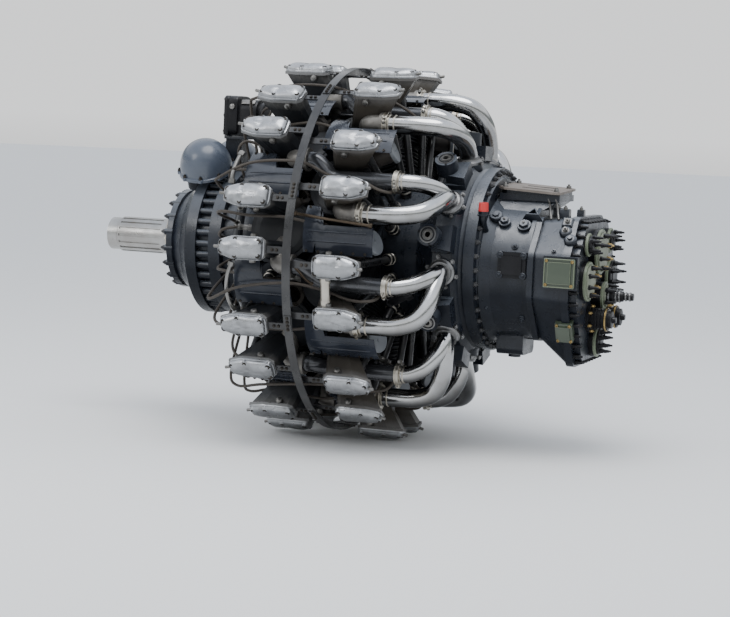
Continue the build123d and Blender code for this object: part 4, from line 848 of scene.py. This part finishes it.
fittings, darkFittings = [], []
for x, turn, rise, r in flankLook["bosses"]:
    spot, way = flank(x, turn, rise)
    darkFittings.append(ringOf(spot - way * 0.006, way, r * 0.6, r + 0.003, 0.008, 28))
    darkFittings.append(copies(nut(r * 1.4, 0.012), spot, way))
    fittings.append(copies(solidSpun([(0, 0.004), (0.016, 0.004), (0.018, 0.002)], 12), spot, way))
spot, way = flank(*flankLook["plugBoss"])
darkFittings.append(ringOf(spot - way * 0.010, way, 0.006, 0.0235, 0.016, 32))
darkFittings.append(copies(nut(*flankLook["plugNut"]), spot, way))
for x, turn, flats in flankLook["nuts"]:
    spot, way = flank(x, turn, 0.0)
    darkFittings.append(ringOf(spot - way * 0.006, way, 0.003, flats * 0.85, 0.011, 28))
    darkFittings.append(copies(nut(flats, flats * 0.5, 0.006), spot + way * 0.004, way))
spot, way = flank(*flankLook["shoulderBoss"])
darkFittings.append(copies(solidSpun([(-0.01, 0.046), (0.006, 0.044), (0.030, 0.026), (0.030, 0.020),
                                      (0.014, 0.020)], 3, 180), spot, way))
# the slanted flank: a nut on a block, a domed plug, a stud
slope, block, plug, disc = (flankLook[key] for key in ("slope", "block", "plug", "disc"))
darkFittings.append(copies(solidSpun([(-0.01, 0.028), (0.010, 0.026), (0.014, 0.020)], 4, 45), block, slope))
darkFittings.append(copies(solidSpun([(-0.004, 0.023), (0.004, 0.023), (0.010, 0.019), (0.013, 0.012)], 28),
                           [plug, disc], slope))
darkFittings.append(copies(nut(*flankLook["nut"]), plug + slope * 0.012, slope))
slopeSpots = np.array([block, disc]) + slope * 0.0135
fittings.append(copies(nut(*flankLook["nut"], flankLook["stud"]), slopeSpots, slope))
darkFittings.append(copies(nut(*flankLook["lowNut"]), flankLook["lowNutAt"], slope))
for x in flankLook["lineX"]:
    fittings.append(pipe(flowing(flankLook["lineCorners"] + aft * x, 20), flankLook["line"], 10))
for x, y, z, r in flankLook["topBosses"]:
    boss = solidSpun([(-0.01, r), (0.020, r * 0.94), (0.024, r * 0.8)], 4, 45)
    darkFittings.append(copies(boss, (x, y, z), toTop))
    spots = around((x, y, z + 0.0235), toTop, r * 0.5, 2, 20)
    fittings.append(copies(nut(r * 0.5, 0.007, 0.005), spots, toTop))

# the carburettor's blanking plate, tipped to the rear and to the near side, on a wedge; two slots in it, dark
# sheets of painted shade
plateLook = {
    "x": (0.145, 0.368), "half": 0.118, "heights": (0.252, 0.2405, 0.265, 0.253), "thick": 0.008,
    "base": 0.2375,            # the level of the wedge's foot
    "slotX": (0.215, 0.325), "slotY": (-0.045, 0.030), "slotHalf": 0.006,
    "nutIn": 0.020, "nutY": 0.088, "nut": (0.016, 0.009, 0.006),
}


def tipped(x, y, lift=0.0):
    # height between the four corners: near front, near rear, far front, far rear
    u = (np.asarray(x) - plateLook["x"][0]) / (plateLook["x"][1] - plateLook["x"][0])
    v = (np.asarray(y) + plateLook["half"]) / (2 * plateLook["half"])
    a, b, c, d = plateLook["heights"]
    return np.stack([x, y, (1 - u) * (1 - v) * a + u * (1 - v) * b + (1 - u) * v * c + u * v * d + lift], -1)


def slab(foot, top):
    # a flat block between two rings of points, each closed by its own middle
    layers = [foot * 0 + foot.mean(0), foot, top, top * 0 + top.mean(0)]
    return grid(np.stack(layers), closedV=True)


(x0, x1), half, thick = plateLook["x"], plateLook["half"], plateLook["thick"]
outline = np.array([(x0 + 0.024, -half), (x1 - 0.012, -half), (x1, -half + 0.012), (x1, half - 0.012),
                    (x1 - 0.012, half), (x0 + 0.024, half), (x0, half - 0.024), (x0, -half + 0.024)])
plate = slab(tipped(*outline.T), tipped(*outline.T, thick))
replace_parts(addPiece("carburettorPlate", [plate], "bare_plate"), "carburettor_cover")
wedge = outline * (0.94, 0.84) + (0.015, 0)
darkFittings.append(slab(level(wedge, plateLook["base"]), tipped(*wedge.T, 0.0005)))
slots = []
for y in plateLook["slotY"]:
    (low, high), wide = plateLook["slotX"], plateLook["slotHalf"]
    corners = np.array([(low, y - wide), (high, y - wide), (high, y + wide), (low, y + wide)])
    slots.append(slab(tipped(*corners.T, thick - 0.001), tipped(*corners.T, thick + 0.0004)))
# the slots' near-black finish is painted shade
addPiece("carburettorSlots", slots, "sootAndPaintedShade", "satin_black")
nutX = np.array([x0 + plateLook["nutIn"], x1 - plateLook["nutIn"]])[[0, 1, 1, 0]]
plateNuts = tipped(nutX, np.array([-1, -1, 1, 1]) * plateLook["nutY"], thick)
fittings.append(copies(nut(*plateLook["nut"]), plateNuts, toTop))

# the red plug cap on its hexagon and bent stem
capLook = {"place": (0.142, -0.266, 0.177), "lean": (0, -0.05, 1), "nut": (0.030, 0.014), "stem": 0.0115}
capSpot = np.array(capLook["place"])
cap = solidSpun([(0, 0.0175), (0.004, 0.0180), (0.006, 0.0170), (0.027, 0.0165), (0.030, 0.0150)], 36)
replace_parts(addPiece("plugCap", [copies(cap, capSpot, capLook["lean"])], "red_plastic"), "plug_cap")
darkFittings.append(copies(nut(*capLook["nut"]), capSpot - (0, 0, 0.013), capLook["lean"]))
stem = flowing(capSpot - [(0, 0, 0.004), (0, 0, 0.030), (0, -0.020, 0.055), (0, -0.055, 0.080)], 20)
darkFittings.append(pipe(stem, capLook["stem"], 18))
addPiece("flankBossNuts", darkFittings, "case_paint")
addPiece("flankStuds", fittings, "plated_steel")
print("flank fittings made")

# lugs: pressed-in bush rings, seals and three screws on each of the nine mounting eyes
lugLook = {"half": 0.030, "screwAt": 0.026, "screwCircle": 0.0335, "screw": (0.0042, 0.004),
           # inner and outer radius and thickness of the bush ring and of the seal
           "ring": (0.0095, 0.0165, 0.004), "seal": (0.0195, 0.0245, 0.0018)}
bushRings, bushDark = [], []
for a in frontAngles + layout["bracketTurn"]:
    way = outward(a)
    for s in (1, -1):
        at = polar(0.0, layout["bracketRadius"] + s * (lugLook["half"] - 0.0005), a)
        bushRings.append(ringOf(at, way * s, *lugLook["ring"], 32))
        bushDark.append(ringOf(at, way * s, *lugLook["seal"], 36))
    eye = polar(0.0, layout["bracketRadius"] + lugLook["screwAt"], a)
    spots = around(eye, way, lugLook["screwCircle"], 3, 15)
    bushDark.append(copies(socketScrew(*lugLook["screw"]), spots, way))
addPiece("mountBushRings", bushRings, "plated_steel", "bush_steel")
addPiece("mountBushSeals", bushDark, "satin_black")

# clamps: a bolt and two lugs on each, at both sides of the joint; x, distance, angle and outer radius
clampLook = {"rear": (-0.205, 0.548, 13.7, 0.040), "front": (-0.108, 0.520, -0.5, 0.038),
             "bolt": 0.0028, "boltHalf": 0.013, "nut": (0.009, 0.005), "nutAt": 0.010, "lugAt": 0.006,
             # of each band: its place along the joint, width, and how far it reaches in and out
             "bands": (-0.0065, 0.0065), "bandWidth": 0.003, "bandIn": 0.003, "bandOut": 0.0022}
clampBands, clampBolts = [], []
clampLug = solidSpun([(-0.002, 0.0065), (0.002, 0.0065)], 12)
for a in rearAngles:
    for x, r, turn, out in (clampLook["rear"], clampLook["front"]):
        centre = polar(x, r, a + turn)
        for spot in around(centre, aft, out + 0.004, 2, 215 + a + turn):
            away = (spot - centre) / np.linalg.norm(spot - centre)
            across = np.cross(aft, away)
            shank = [spot + across * reach for reach in (-clampLook["boltHalf"], 0, clampLook["boltHalf"])]
            clampBolts.append(pipe(shank, clampLook["bolt"], 10))
            clampBolts.append(copies(nut(*clampLook["nut"]), spot + across * clampLook["nutAt"], across))
            clampBands += [copies(clampLug, spot + across * clampLook["lugAt"] * s, across) for s in (-1, 1)]
        inner, outer, wide = out - clampLook["bandIn"], out + clampLook["bandOut"], clampLook["bandWidth"]
        for dx in clampLook["bands"]:
            clampBands.append(ringOf(centre + aft * (dx - wide / 2), aft, inner, outer, wide, 36))
addPiece("clampBands", clampBands, "clamp_metal")
addPiece("clampBolts", clampBolts, "plated_steel")
print("lugs and clamps made")

# ignition leads from the manifold to the plugs, with hexagon nuts and ferrules at both ends
leadLook = {
    "radius": 0.0052, "manifoldX": -0.752, "manifoldR": 0.309,
    # the plug's seat from the shaft and from the cylinder's axis, and how steeply the plug leans out
    "plugR": 0.460, "reach": 0.118, "slope": 0.3235,
    "plugEnd": (0.043, 0.014),         # the lead's end beyond the plug's seat, along the shaft and out
    "wander": (0.007, 0.007, 0.8),     # how far a lead's middle corners stray: metres, metres, degrees
    "seed": 31,
    "turns": {"front": (5, -6), "rear": (-3, 3)},
    # at the manifold a nut and a ferrule, at the plug a sleeve, as height and radius
    "nut": (0.017, 0.010), "ferrule": [(0.008, 0.0075), (0.024, 0.0068), (0.026, 0.006)],
    "sleeve": [(0.016, 0.0105), (0.022, 0.0105), (0.024, 0.0098), (0.038, 0.0098), (0.040, 0.0112),
               (0.048, 0.0112), (0.050, 0.008)],
    # corners of the leads to the plugs ahead of and behind the cylinder, as x, distance from the shaft and
    # angle from their cylinder; the plug's end comes from the row
    "ahead": {"front": [(-0.752, 0.300, 5), (-0.752, 0.340, 5), (-0.753, 0.440, 5), (-0.735, 0.494, 4),
                        (-0.712, 0.500, 1.5)],
              "rear": [(-0.752, 0.300, -3), (-0.752, 0.340, -3), (-0.748, 0.470, -3), (-0.700, 0.520, -2),
                       (-0.560, 0.545, -1), (-0.505, 0.512, -0.5)]},
    "behind": {"front": [(-0.752, 0.300, -6), (-0.752, 0.345, -6), (-0.742, 0.520, -4.6),
                         (-0.700, 0.566, -3.4), (-0.600, 0.548, -2.7), (-0.470, 0.560, -3.0),
                         (-0.390, 0.556, -3.0), (-0.350, 0.520, -2.6), (-0.326, 0.496, -1.0)],
               "rear": [(-0.752, 0.300, 3), (-0.752, 0.345, 3), (-0.745, 0.540, 4.5), (-0.715, 0.592, 5),
                        (-0.600, 0.616, 0), (-0.440, 0.604, -1), (-0.330, 0.582, 1), (-0.225, 0.576, 2.8),
                        (-0.158, 0.560, 4.0), (-0.130, 0.520, 3.6), (-0.136, 0.497, 1.0)]},
}
ferrules, leads = [], []
ferrule, plugSleeve = solidSpun(leadLook["ferrule"], 16), solidSpun(leadLook["sleeve"], 20)
for rowName, side, axis, angles in rows:
    for s, corners in ((-1, leadLook["ahead"][rowName]), (1, leadLook["behind"][rowName])):
        beyond, out = leadLook["plugEnd"]
        route = np.array(corners + [(axis + s * (leadLook["reach"] + beyond), leadLook["plugR"] + out, 0)])
        for k, a in enumerate(angles):
            # each lead hangs a little differently: its middle corners wander, the two at either end stay
            seed = leadLook["seed"] + k + 20 * (side > 0) + 40 * (s > 0)
            wander = np.random.default_rng(seed).uniform(-1, 1, (len(route), 3))
            wander[:2] = wander[-2:] = 0
            path = carried(route + wander * leadLook["wander"], 60, a)
            leads.append(pipe(path, leadLook["radius"], 10))
    for a in angles:
        for turn in leadLook["turns"][rowName]:
            at, way = polar(leadLook["manifoldX"], leadLook["manifoldR"] - 0.002, a + turn), outward(a + turn)
            ferrules += [copies(nut(*leadLook["nut"]), at, way), copies(ferrule, at, way)]
        for s in (-1, 1):
            out = np.array([s, 0.0, leadLook["slope"]]) / math.hypot(1, leadLook["slope"])
            start = (axis + s * leadLook["reach"], 0.0, leadLook["plugR"])
            ferrules += roundShaft(copies(plugSleeve, start, out), [a])
addPiece("ignitionLeads", leads, "braid", "conduit")

# a rubber-ended oil drain between the two rocker boxes of two low rear cylinders
drainLook = {"angles": (-100, 100), "middle": (-0.292, 0.0, 0.612),
             # from, to and radius of the pipe and of its two ends
             "lengths": [(-0.052, 0.052, 0.0165), (-0.052, -0.030, 0.0185), (0.030, 0.052, 0.0185)]}
drains = []
for a in drainLook["angles"]:
    for low, high, r in drainLook["lengths"]:
        line = np.array([(0, low, 0), (0, (low + high) / 2, 0), (0, high, 0)]) + drainLook["middle"]
        drains += roundShaft(pipe(line, r, 28), [a])
addPiece("drainSleeves", drains, "clamp_metal")
addPiece("leadFerrules", ferrules, "plated_steel")

# exhaust stubs: in front a dark inside of soot and painted shade, a grey blanking disc at the rear, studs on
# the flanges
exhaustLook = {"radius": 0.0285, "wall": 0.0065, "lip": 0.0135, "depth": 0.033,
               # size of the nuts in front, then circle, count and first angle of them
               "nut": (0.009, 0.006, 0.006), "nuts": (0.0365, 4, 30),
               # height and radius of the blanking disc at the rear
               "blank": [(-0.009, 0.0425), (-0.009, 0.0445), (0.001, 0.0445), (0.0035, 0.042),
                         (0.0035, 0.006), (0.006, 0.005), (0.006, 0)],
               # x from the cylinder's axis, distance from the shaft, angle of the stub's two ends
               "start": (0.012, 0.466, -10.0),
               "end": {"front": (0.056, 0.504, -14.5), "rear": (0.158, 0.504, -17.0)}}
sootAndPaintedShade, blanks, flangeNuts, stubs = [], [], [], []
r, wall, lip, depth = (exhaustLook[key] for key in ("radius", "wall", "lip", "depth"))
for rowName, side, axis, angles in rows:
    (startX, startR, startTurn), (endX, endR, endTurn) = exhaustLook["start"], exhaustLook["end"][rowName]
    start, end = polar(axis + startX, startR, startTurn), polar(axis + endX, endR, endTurn)
    reach = np.linalg.norm(end - start)
    out = (end - start) / reach
    stop = reach - depth - 0.002
    stub = spun([(0, r), (0, r + wall), (reach - 0.014, r + wall), (reach - 0.012, r + wall + 0.002),
                 (reach - 0.012, r + lip), (reach, r + lip), (reach, r), (stop, r - 0.001), (stop, 0)], 40)
    stubs += roundShaft(copies(stub, start, out), angles)
    if rowName == "front":
        # a near-black cup deep in the stub: soot and painted shade
        cup = spun([(-0.0005, r + 0.0005), (-0.0005, r), (-depth, r - 0.001), (-depth, 0)], 32)
        studs = copies(nut(*exhaustLook["nut"]), around(end, out, *exhaustLook["nuts"]), out)
        sootAndPaintedShade += roundShaft(copies(cup, end, out), angles)
        flangeNuts += roundShaft(studs, angles)
    else:
        blanks += roundShaft(copies(spun(exhaustLook["blank"], 40), end, out), angles)
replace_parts(addPiece("exhaustStubEnds", stubs, "rusty_stub"), "exhaust_stubs")
addPiece("exhaustSootAndShade", sootAndPaintedShade, "sootAndPaintedShade", "rusty_stub")
addPiece("exhaustBlanks", blanks, "blank_grey", "rusty_stub")
addPiece("exhaustNuts", flangeNuts, "screw_dark", "plated_steel")

# pushrod tube ends: rubber sleeves with two hose clips, at the case
rodLook = {"foot": (0.132, 0.2323), "head": (0.096, 0.620), "clips": (0.018, 0.044),
           # inner and outer radius and width of a clip; height and radius of a sleeve
           "clip": (0.015, 0.0215, 0.006),
           "sleeve": [(0.012, 0.0125), (0.012, 0.0205), (0.052, 0.0180), (0.054, 0.0125)]}
sleeves, clips = [], []
rodSleeve = spun(rodLook["sleeve"], 20)
for rowName, side, axis, angles in rows:
    for turn in rockerTurns(angles):
        foot, head = (polar(axis + side * x, r, turn) for x, r in (rodLook["foot"], rodLook["head"]))
        way = (head - foot) / np.linalg.norm(head - foot)
        sleeves.append(copies(rodSleeve, foot, way))
        clips += [ringOf(foot + way * lift, way, *rodLook["clip"], 20) for lift in rodLook["clips"]]
addPiece("pushrodSleeves", sleeves, "satin_black")
addPiece("pushrodClips", clips, "clamp_metal")
print("leads, stubs and sleeves made")

# distributor domes with bolts on the lugs of their rims
domeLook = {"x": -0.954, "angle": 26.0, "seat": 0.288, "radius": 0.102, "height": 0.120, "rim": 0.012,
            "lugRadius": 0.099, "lugs": 9, "lug": [(0, 0.009), (0.011, 0.009), (0.012, 0.008)],
            "boltSeat": 0.0115, "bolt": (0.011, 0.008, 0.004)}
# the bowl: close to a quarter of an ellipse, height = rim + rise * sin(t), radius = r * cos(t)^0.86
t = np.linspace(0, np.pi / 2, 20)[:-1]
radius, rimTop, height = (domeLook[key] for key in ("radius", "rim", "height"))
bowlRadius = radius - 0.006
bowl = [(-0.001, radius), (0.009, radius), (rimTop, bowlRadius + 0.001)]
bowl += [(rimTop + (height - rimTop) * math.sin(k), bowlRadius * math.cos(k) ** 0.86) for k in t]
bowl.append((height, 0))
centre = np.array([domeLook["x"], 0, domeLook["seat"]])
lugSpots = around(centre, toTop, domeLook["lugRadius"], domeLook["lugs"], 90)
lugs = copies(solidSpun(domeLook["lug"], 20), lugSpots, toTop)
bolts = copies(nut(*domeLook["bolt"]), lugSpots + (0, 0, domeLook["boltSeat"]), toTop)
domes, domeBolts = [], []
for a in (domeLook["angle"], -domeLook["angle"]):
    domes += roundShaft(copies(spun([(-0.001, 0), *bowl], 56), centre, toTop), [a]) + roundShaft(lugs, [a])
    domeBolts += roundShaft(bolts, [a])
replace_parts(addPiece("domeBowls", domes, "blue_grey", sharp=50), "distributor_domes")
addPiece("domeBolts", domeBolts, "screw_dark", "plated_steel")

# magneto: an arched body behind a plate, its table, screws, plugs and a bare plate where the label is
magnetoLook = {
    "plateX": -0.923, "bodyX": -0.905, "rearX": -0.802, "tableX": (-0.926, -0.822), "seat": 0.392,
    "half": (0.072, 0.066), "thick": 0.033,
    # heights over the seat: top of plate and body, middle of the rear cap and of the front knob
    "plateTop": 0.144, "bodyTop": 0.132, "capAt": 0.084, "knobAt": 0.100,
    "bodyHalf": 0.052, "tableHalf": 0.048, "screw": (0.006, 0.005), "labelSize": (0.0085, 0.027, 0.0014),
    "screwY": 0.054, "screwHeights": (0.014, 0.072, 0.130),
    "sidePlug": (-0.889, -0.066, 0.496), "label": (-0.835, -0.0472, 0.515), "labelWay": (0.0, -0.88, 0.475),
}
front, behind, rear, seat, half = (magnetoLook[key] for key in ("plateX", "bodyX", "rearX", "seat", "half"))
flange = copies(tablet(*half, magnetoLook["thick"]), (behind, 0, seat + half[0]), aft)
addPiece("magnetoFlange", [flange], "satin_black")
levels = ("plateTop", "bodyTop", "capAt", "knobAt")
plateTop, bodyTop, capAt, knobAt = (seat + magnetoLook[key] for key in levels)
magnetoBlocks = [archBlock(half[1], seat, plateTop, 0.018, front, behind),
                 archBlock(magnetoLook["bodyHalf"], seat, bodyTop, 0.040, behind - 0.001, rear),
                 copies(solidSpun([(0, 0.038), (0.022, 0.038), (0.024, 0.036)], 40),
                        (rear - 0.004, 0, capAt), aft),
                 copies(solidSpun([(0, 0.020), (0.010, 0.020), (0.012, 0.018)]),
                        (front + 0.001, 0, knobAt), fore)]
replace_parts(addPiece("magnetoBody", magnetoBlocks, "satin_black"), "magneto")
table = archBlock(magnetoLook["tableHalf"], seat - 0.014, seat + 0.0005, 0.003, *magnetoLook["tableX"], 3)
addPiece("magnetoTable", [table], "case_paint")
spots = [(front, s * magnetoLook["screwY"], seat + h) for s in (-1, 1) for h in magnetoLook["screwHeights"]]
magnetoPlugs = [copies(solidSpun([(0, 0.011), (0.006, 0.011), (0.009, 0.007)], 20),
                       (front - 0.009, 0.0, knobAt), fore),
                copies(solidSpun([(-sunk, 0.011), (0.006, 0.010), (0.008, 0.007)], 20),
                       magnetoLook["sidePlug"], toSide)]
label = copies(tablet(*magnetoLook["labelSize"]), magnetoLook["label"], magnetoLook["labelWay"])
addPiece("magnetoScrews", [copies(socketScrew(*magnetoLook["screw"]), spots, fore), *magnetoPlugs, label],
         "silver_line", "plated_steel")
print("domes and magneto made")

# ring between the rows: joint plates and bolts
ringLook = {"x": -0.417, "outer": 0.655, "strapR": 0.634, "plateTurn": 2.6, "plateHalf": 0.012,
            "plateLow": -0.001, "plateHigh": 0.003, "boltSeat": 0.0028, "boltTurns": (-1.8, -0.6, 0.6, 1.8),
            "strapBolts": (0.033, 0.049),      # of the bolts on the straps, from the cylinder's axis
            "bolt": (0.009, 0.005), "boltStud": 0.002}
plates, ringBolts = [], []
half, low, high = (ringLook[key] for key in ("plateHalf", "plateLow", "plateHigh"))
for a in frontAngles - layout["pitch"] / 4:
    arc = a + np.linspace(-ringLook["plateTurn"], ringLook["plateTurn"], 7)
    band = np.stack([polar(ringLook["x"] + dx, ringLook["outer"] + h, arc)
                     for dx, h in ((-half, low), (-half, high), (half, high), (half, low))], 1)
    ends = [end.mean(1, keepdims=True).repeat(4, 1) for end in (band[:1], band[-1:])]
    plates.append(grid(np.concatenate([ends[0], band, ends[1]]), closedV=True))
    for turn in ringLook["boltTurns"]:
        seat = polar(ringLook["x"], ringLook["outer"] + ringLook["boltSeat"], a + turn)
        ringBolts.append(copies(nut(*ringLook["bolt"], ringLook["boltStud"]), seat, outward(a + turn)))
for rowName, side, axis, angles in rows:
    for turn in rockerTurns(angles):
        for dx in ringLook["strapBolts"]:
            seat = polar(axis - side * dx, ringLook["strapR"], turn)
            ringBolts.append(copies(nut(*ringLook["bolt"]), seat, outward(turn)))
addPiece("ringPlates", plates, "tube_black", "gloss_baffle")
addPiece("ringBolts", ringBolts, "screw_dark", "plated_steel")
print("ring fittings made")

# baffle panels: sheets between the heads, with pressed beads and a row of screws along both edges
panelLook = {
    "span": {"front": (-0.645, -0.440), "rear": (-0.400, -0.152)}, "flat": 0.545, "rise": 0.016, "half": 8.6,
    "sheet": 0.0025, "edge": 0.6,
    # height of the side walls at the shares of the section below, and their angles
    "walls": [(0.8, 0.500, 6.2), (1.0, 0.450, 5.6)],
    # from where along the shaft a side wall stops for the exhaust stub, and the arch's edge for the pipe
    "stubFrom": {"front": -0.556, "rear": -0.366}, "pipeFrom": {"front": -0.556, "rear": -0.350},
    "pipeEdge": -0.10,
    "bead": 0.0035, "beadSunk": 0.0012, "beadTurns": (0.8, 4.2), "beadEnds": (0.018, 0.022),
    "screw": (0.005, 0.003), "screwTurn": 7.8, "screwStep": 0.042, "screwIn": 0.012,
}


def archHeight(turn):
    # the panel's crown falls off by the square of the angle: height = flat + rise * (1 - (turn / half)^2)
    return panelLook["flat"] + panelLook["rise"] * (1 - (turn / panelLook["half"]) ** 2)


def panelSheet(row):
    # the section runs from s = -1 at one foot over the arch to s = 1; the edges draw in where a port passes
    low, high = panelLook["span"][row]
    edge, half = panelLook["edge"], panelLook["half"]
    turns = [panelLook["stubFrom"][row] + d for d in (-0.001, 0.012)]
    x = np.sort(np.concatenate([np.linspace(low, high, 22), turns]))

    def drawn(start, full, cut):
        # smooth step of 16 mm from the full edge to the cut one
        t = np.clip((x - panelLook[start][row]) / 0.016, 0, 1)
        return full + (cut - full) * t * t * (3 - 2 * t)

    lowEdge, highEdge = drawn("pipeFrom", -1.0, panelLook["pipeEdge"]), drawn("stubFrom", 1.0, edge)
    s = lowEdge[:, None] + (highEdge - lowEdge)[:, None] * np.linspace(0, 1, 44)[None]
    shares, heights, wallTurns = np.array([(edge, panelLook["flat"], half), *panelLook["walls"]]).T
    turn = np.interp(s, [*-shares[::-1], *shares], [*-wallTurns[::-1], *wallTurns])
    radius = np.where(np.abs(s) <= edge, archHeight(turn), np.interp(np.abs(s), shares, heights))
    outer = polar(x[:, None], radius, turn)
    inner = polar(x[:, None], radius - panelLook["sheet"], turn * 0.985)
    loop = np.concatenate([outer, inner[:, ::-1]], 1)
    ends = [np.concatenate([end, end[:, ::-1]], 1) for end in (outer[:1], outer[-1:])]
    return grid(np.concatenate([ends[0], loop, ends[1]]), closedV=True)


panels, beads, panelScrews = [], [], []
for rowName, side, axis, angles in rows:
    low, high = panelLook["span"][rowName]
    sheet = panelSheet(rowName)
    for a in angles + layout["pitch"] / 2:
        panels += roundShaft(sheet, [a])
        for turn in panelLook["beadTurns"]:
            x = np.linspace(low + panelLook["beadEnds"][0], high - panelLook["beadEnds"][1], 9)
            line = polar(x, archHeight(turn) - panelLook["beadSunk"], a + turn)
            beads.append(pipe(line, panelLook["bead"], 10))
        first = low + panelLook["screwIn"]
        for s, last in ((-1, panelLook["pipeFrom"][rowName] - 0.006), (1, high - panelLook["screwIn"])):
            turn = s * panelLook["screwTurn"]
            spots = polar(np.arange(first, last, panelLook["screwStep"]), archHeight(turn), a + turn)
            panelScrews.append(copies(socketScrew(*panelLook["screw"]), spots, outward(a + turn)))
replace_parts(addPiece("bafflePanels", panels, "gloss_baffle", sharp=30), "baffles")
addPiece("panelBeads", beads, "gloss_baffle")
addPiece("panelScrews", panelScrews, "screw_dark", "plated_steel")
print("panel details made")

# thin tubes over the heads and a drain hose: finish, slot, then radius and corners of each, the corners as
# x, distance from the shaft, angle
tubeLook = {
    "bronze": ("bronze_line", "plated_steel",
               [(0.0055, [(-0.428, 0.590, 75.7), (-0.333, 0.594, 76.8), (-0.239, 0.594, 77.6),
                          (-0.150, 0.580, 78.3)]),
                (0.0045, [(-0.429, 0.575, 92.4), (-0.403, 0.578, 94.6), (-0.374, 0.578, 97.5),
                          (-0.353, 0.570, 99.1)])]),
    "silver": ("silver_line", "plated_steel",
               [(0.0075, [(-0.656, 0.600, 55.5), (-0.666, 0.600, 58.7), (-0.672, 0.600, 63.2),
                          (-0.672, 0.590, 66.8)]),
                (0.0070, [(-0.639, 0.595, 93.0), (-0.652, 0.600, 97.4), (-0.657, 0.600, 102.4),
                          (-0.648, 0.598, 106.8), (-0.635, 0.590, 109.2)])]),
    "hose": ("satin_black", "satin_black",
             [(0.0125, [(-0.150, 0.400, 111.0), (-0.118, 0.425, 109.5), (-0.085, 0.432, 107.0),
                        (-0.052, 0.425, 104.5)])]),
}
for key, (finishName, slotName, tubes) in tubeLook.items():
    lines = []
    for radius, corners in tubes:
        path = carried(corners, 30)
        fitting = solidSpun([(0, radius * 1.6), (radius * 2, radius * 1.6)], 6)
        lines.append(pipe(path, radius, 12))
        lines.append(copies(fitting, path[[0, -1]], [path[1] - path[0], path[-2] - path[-1]]))
    addPiece(key + "Lines", lines, finishName, slotName)
print("thin tubes made")
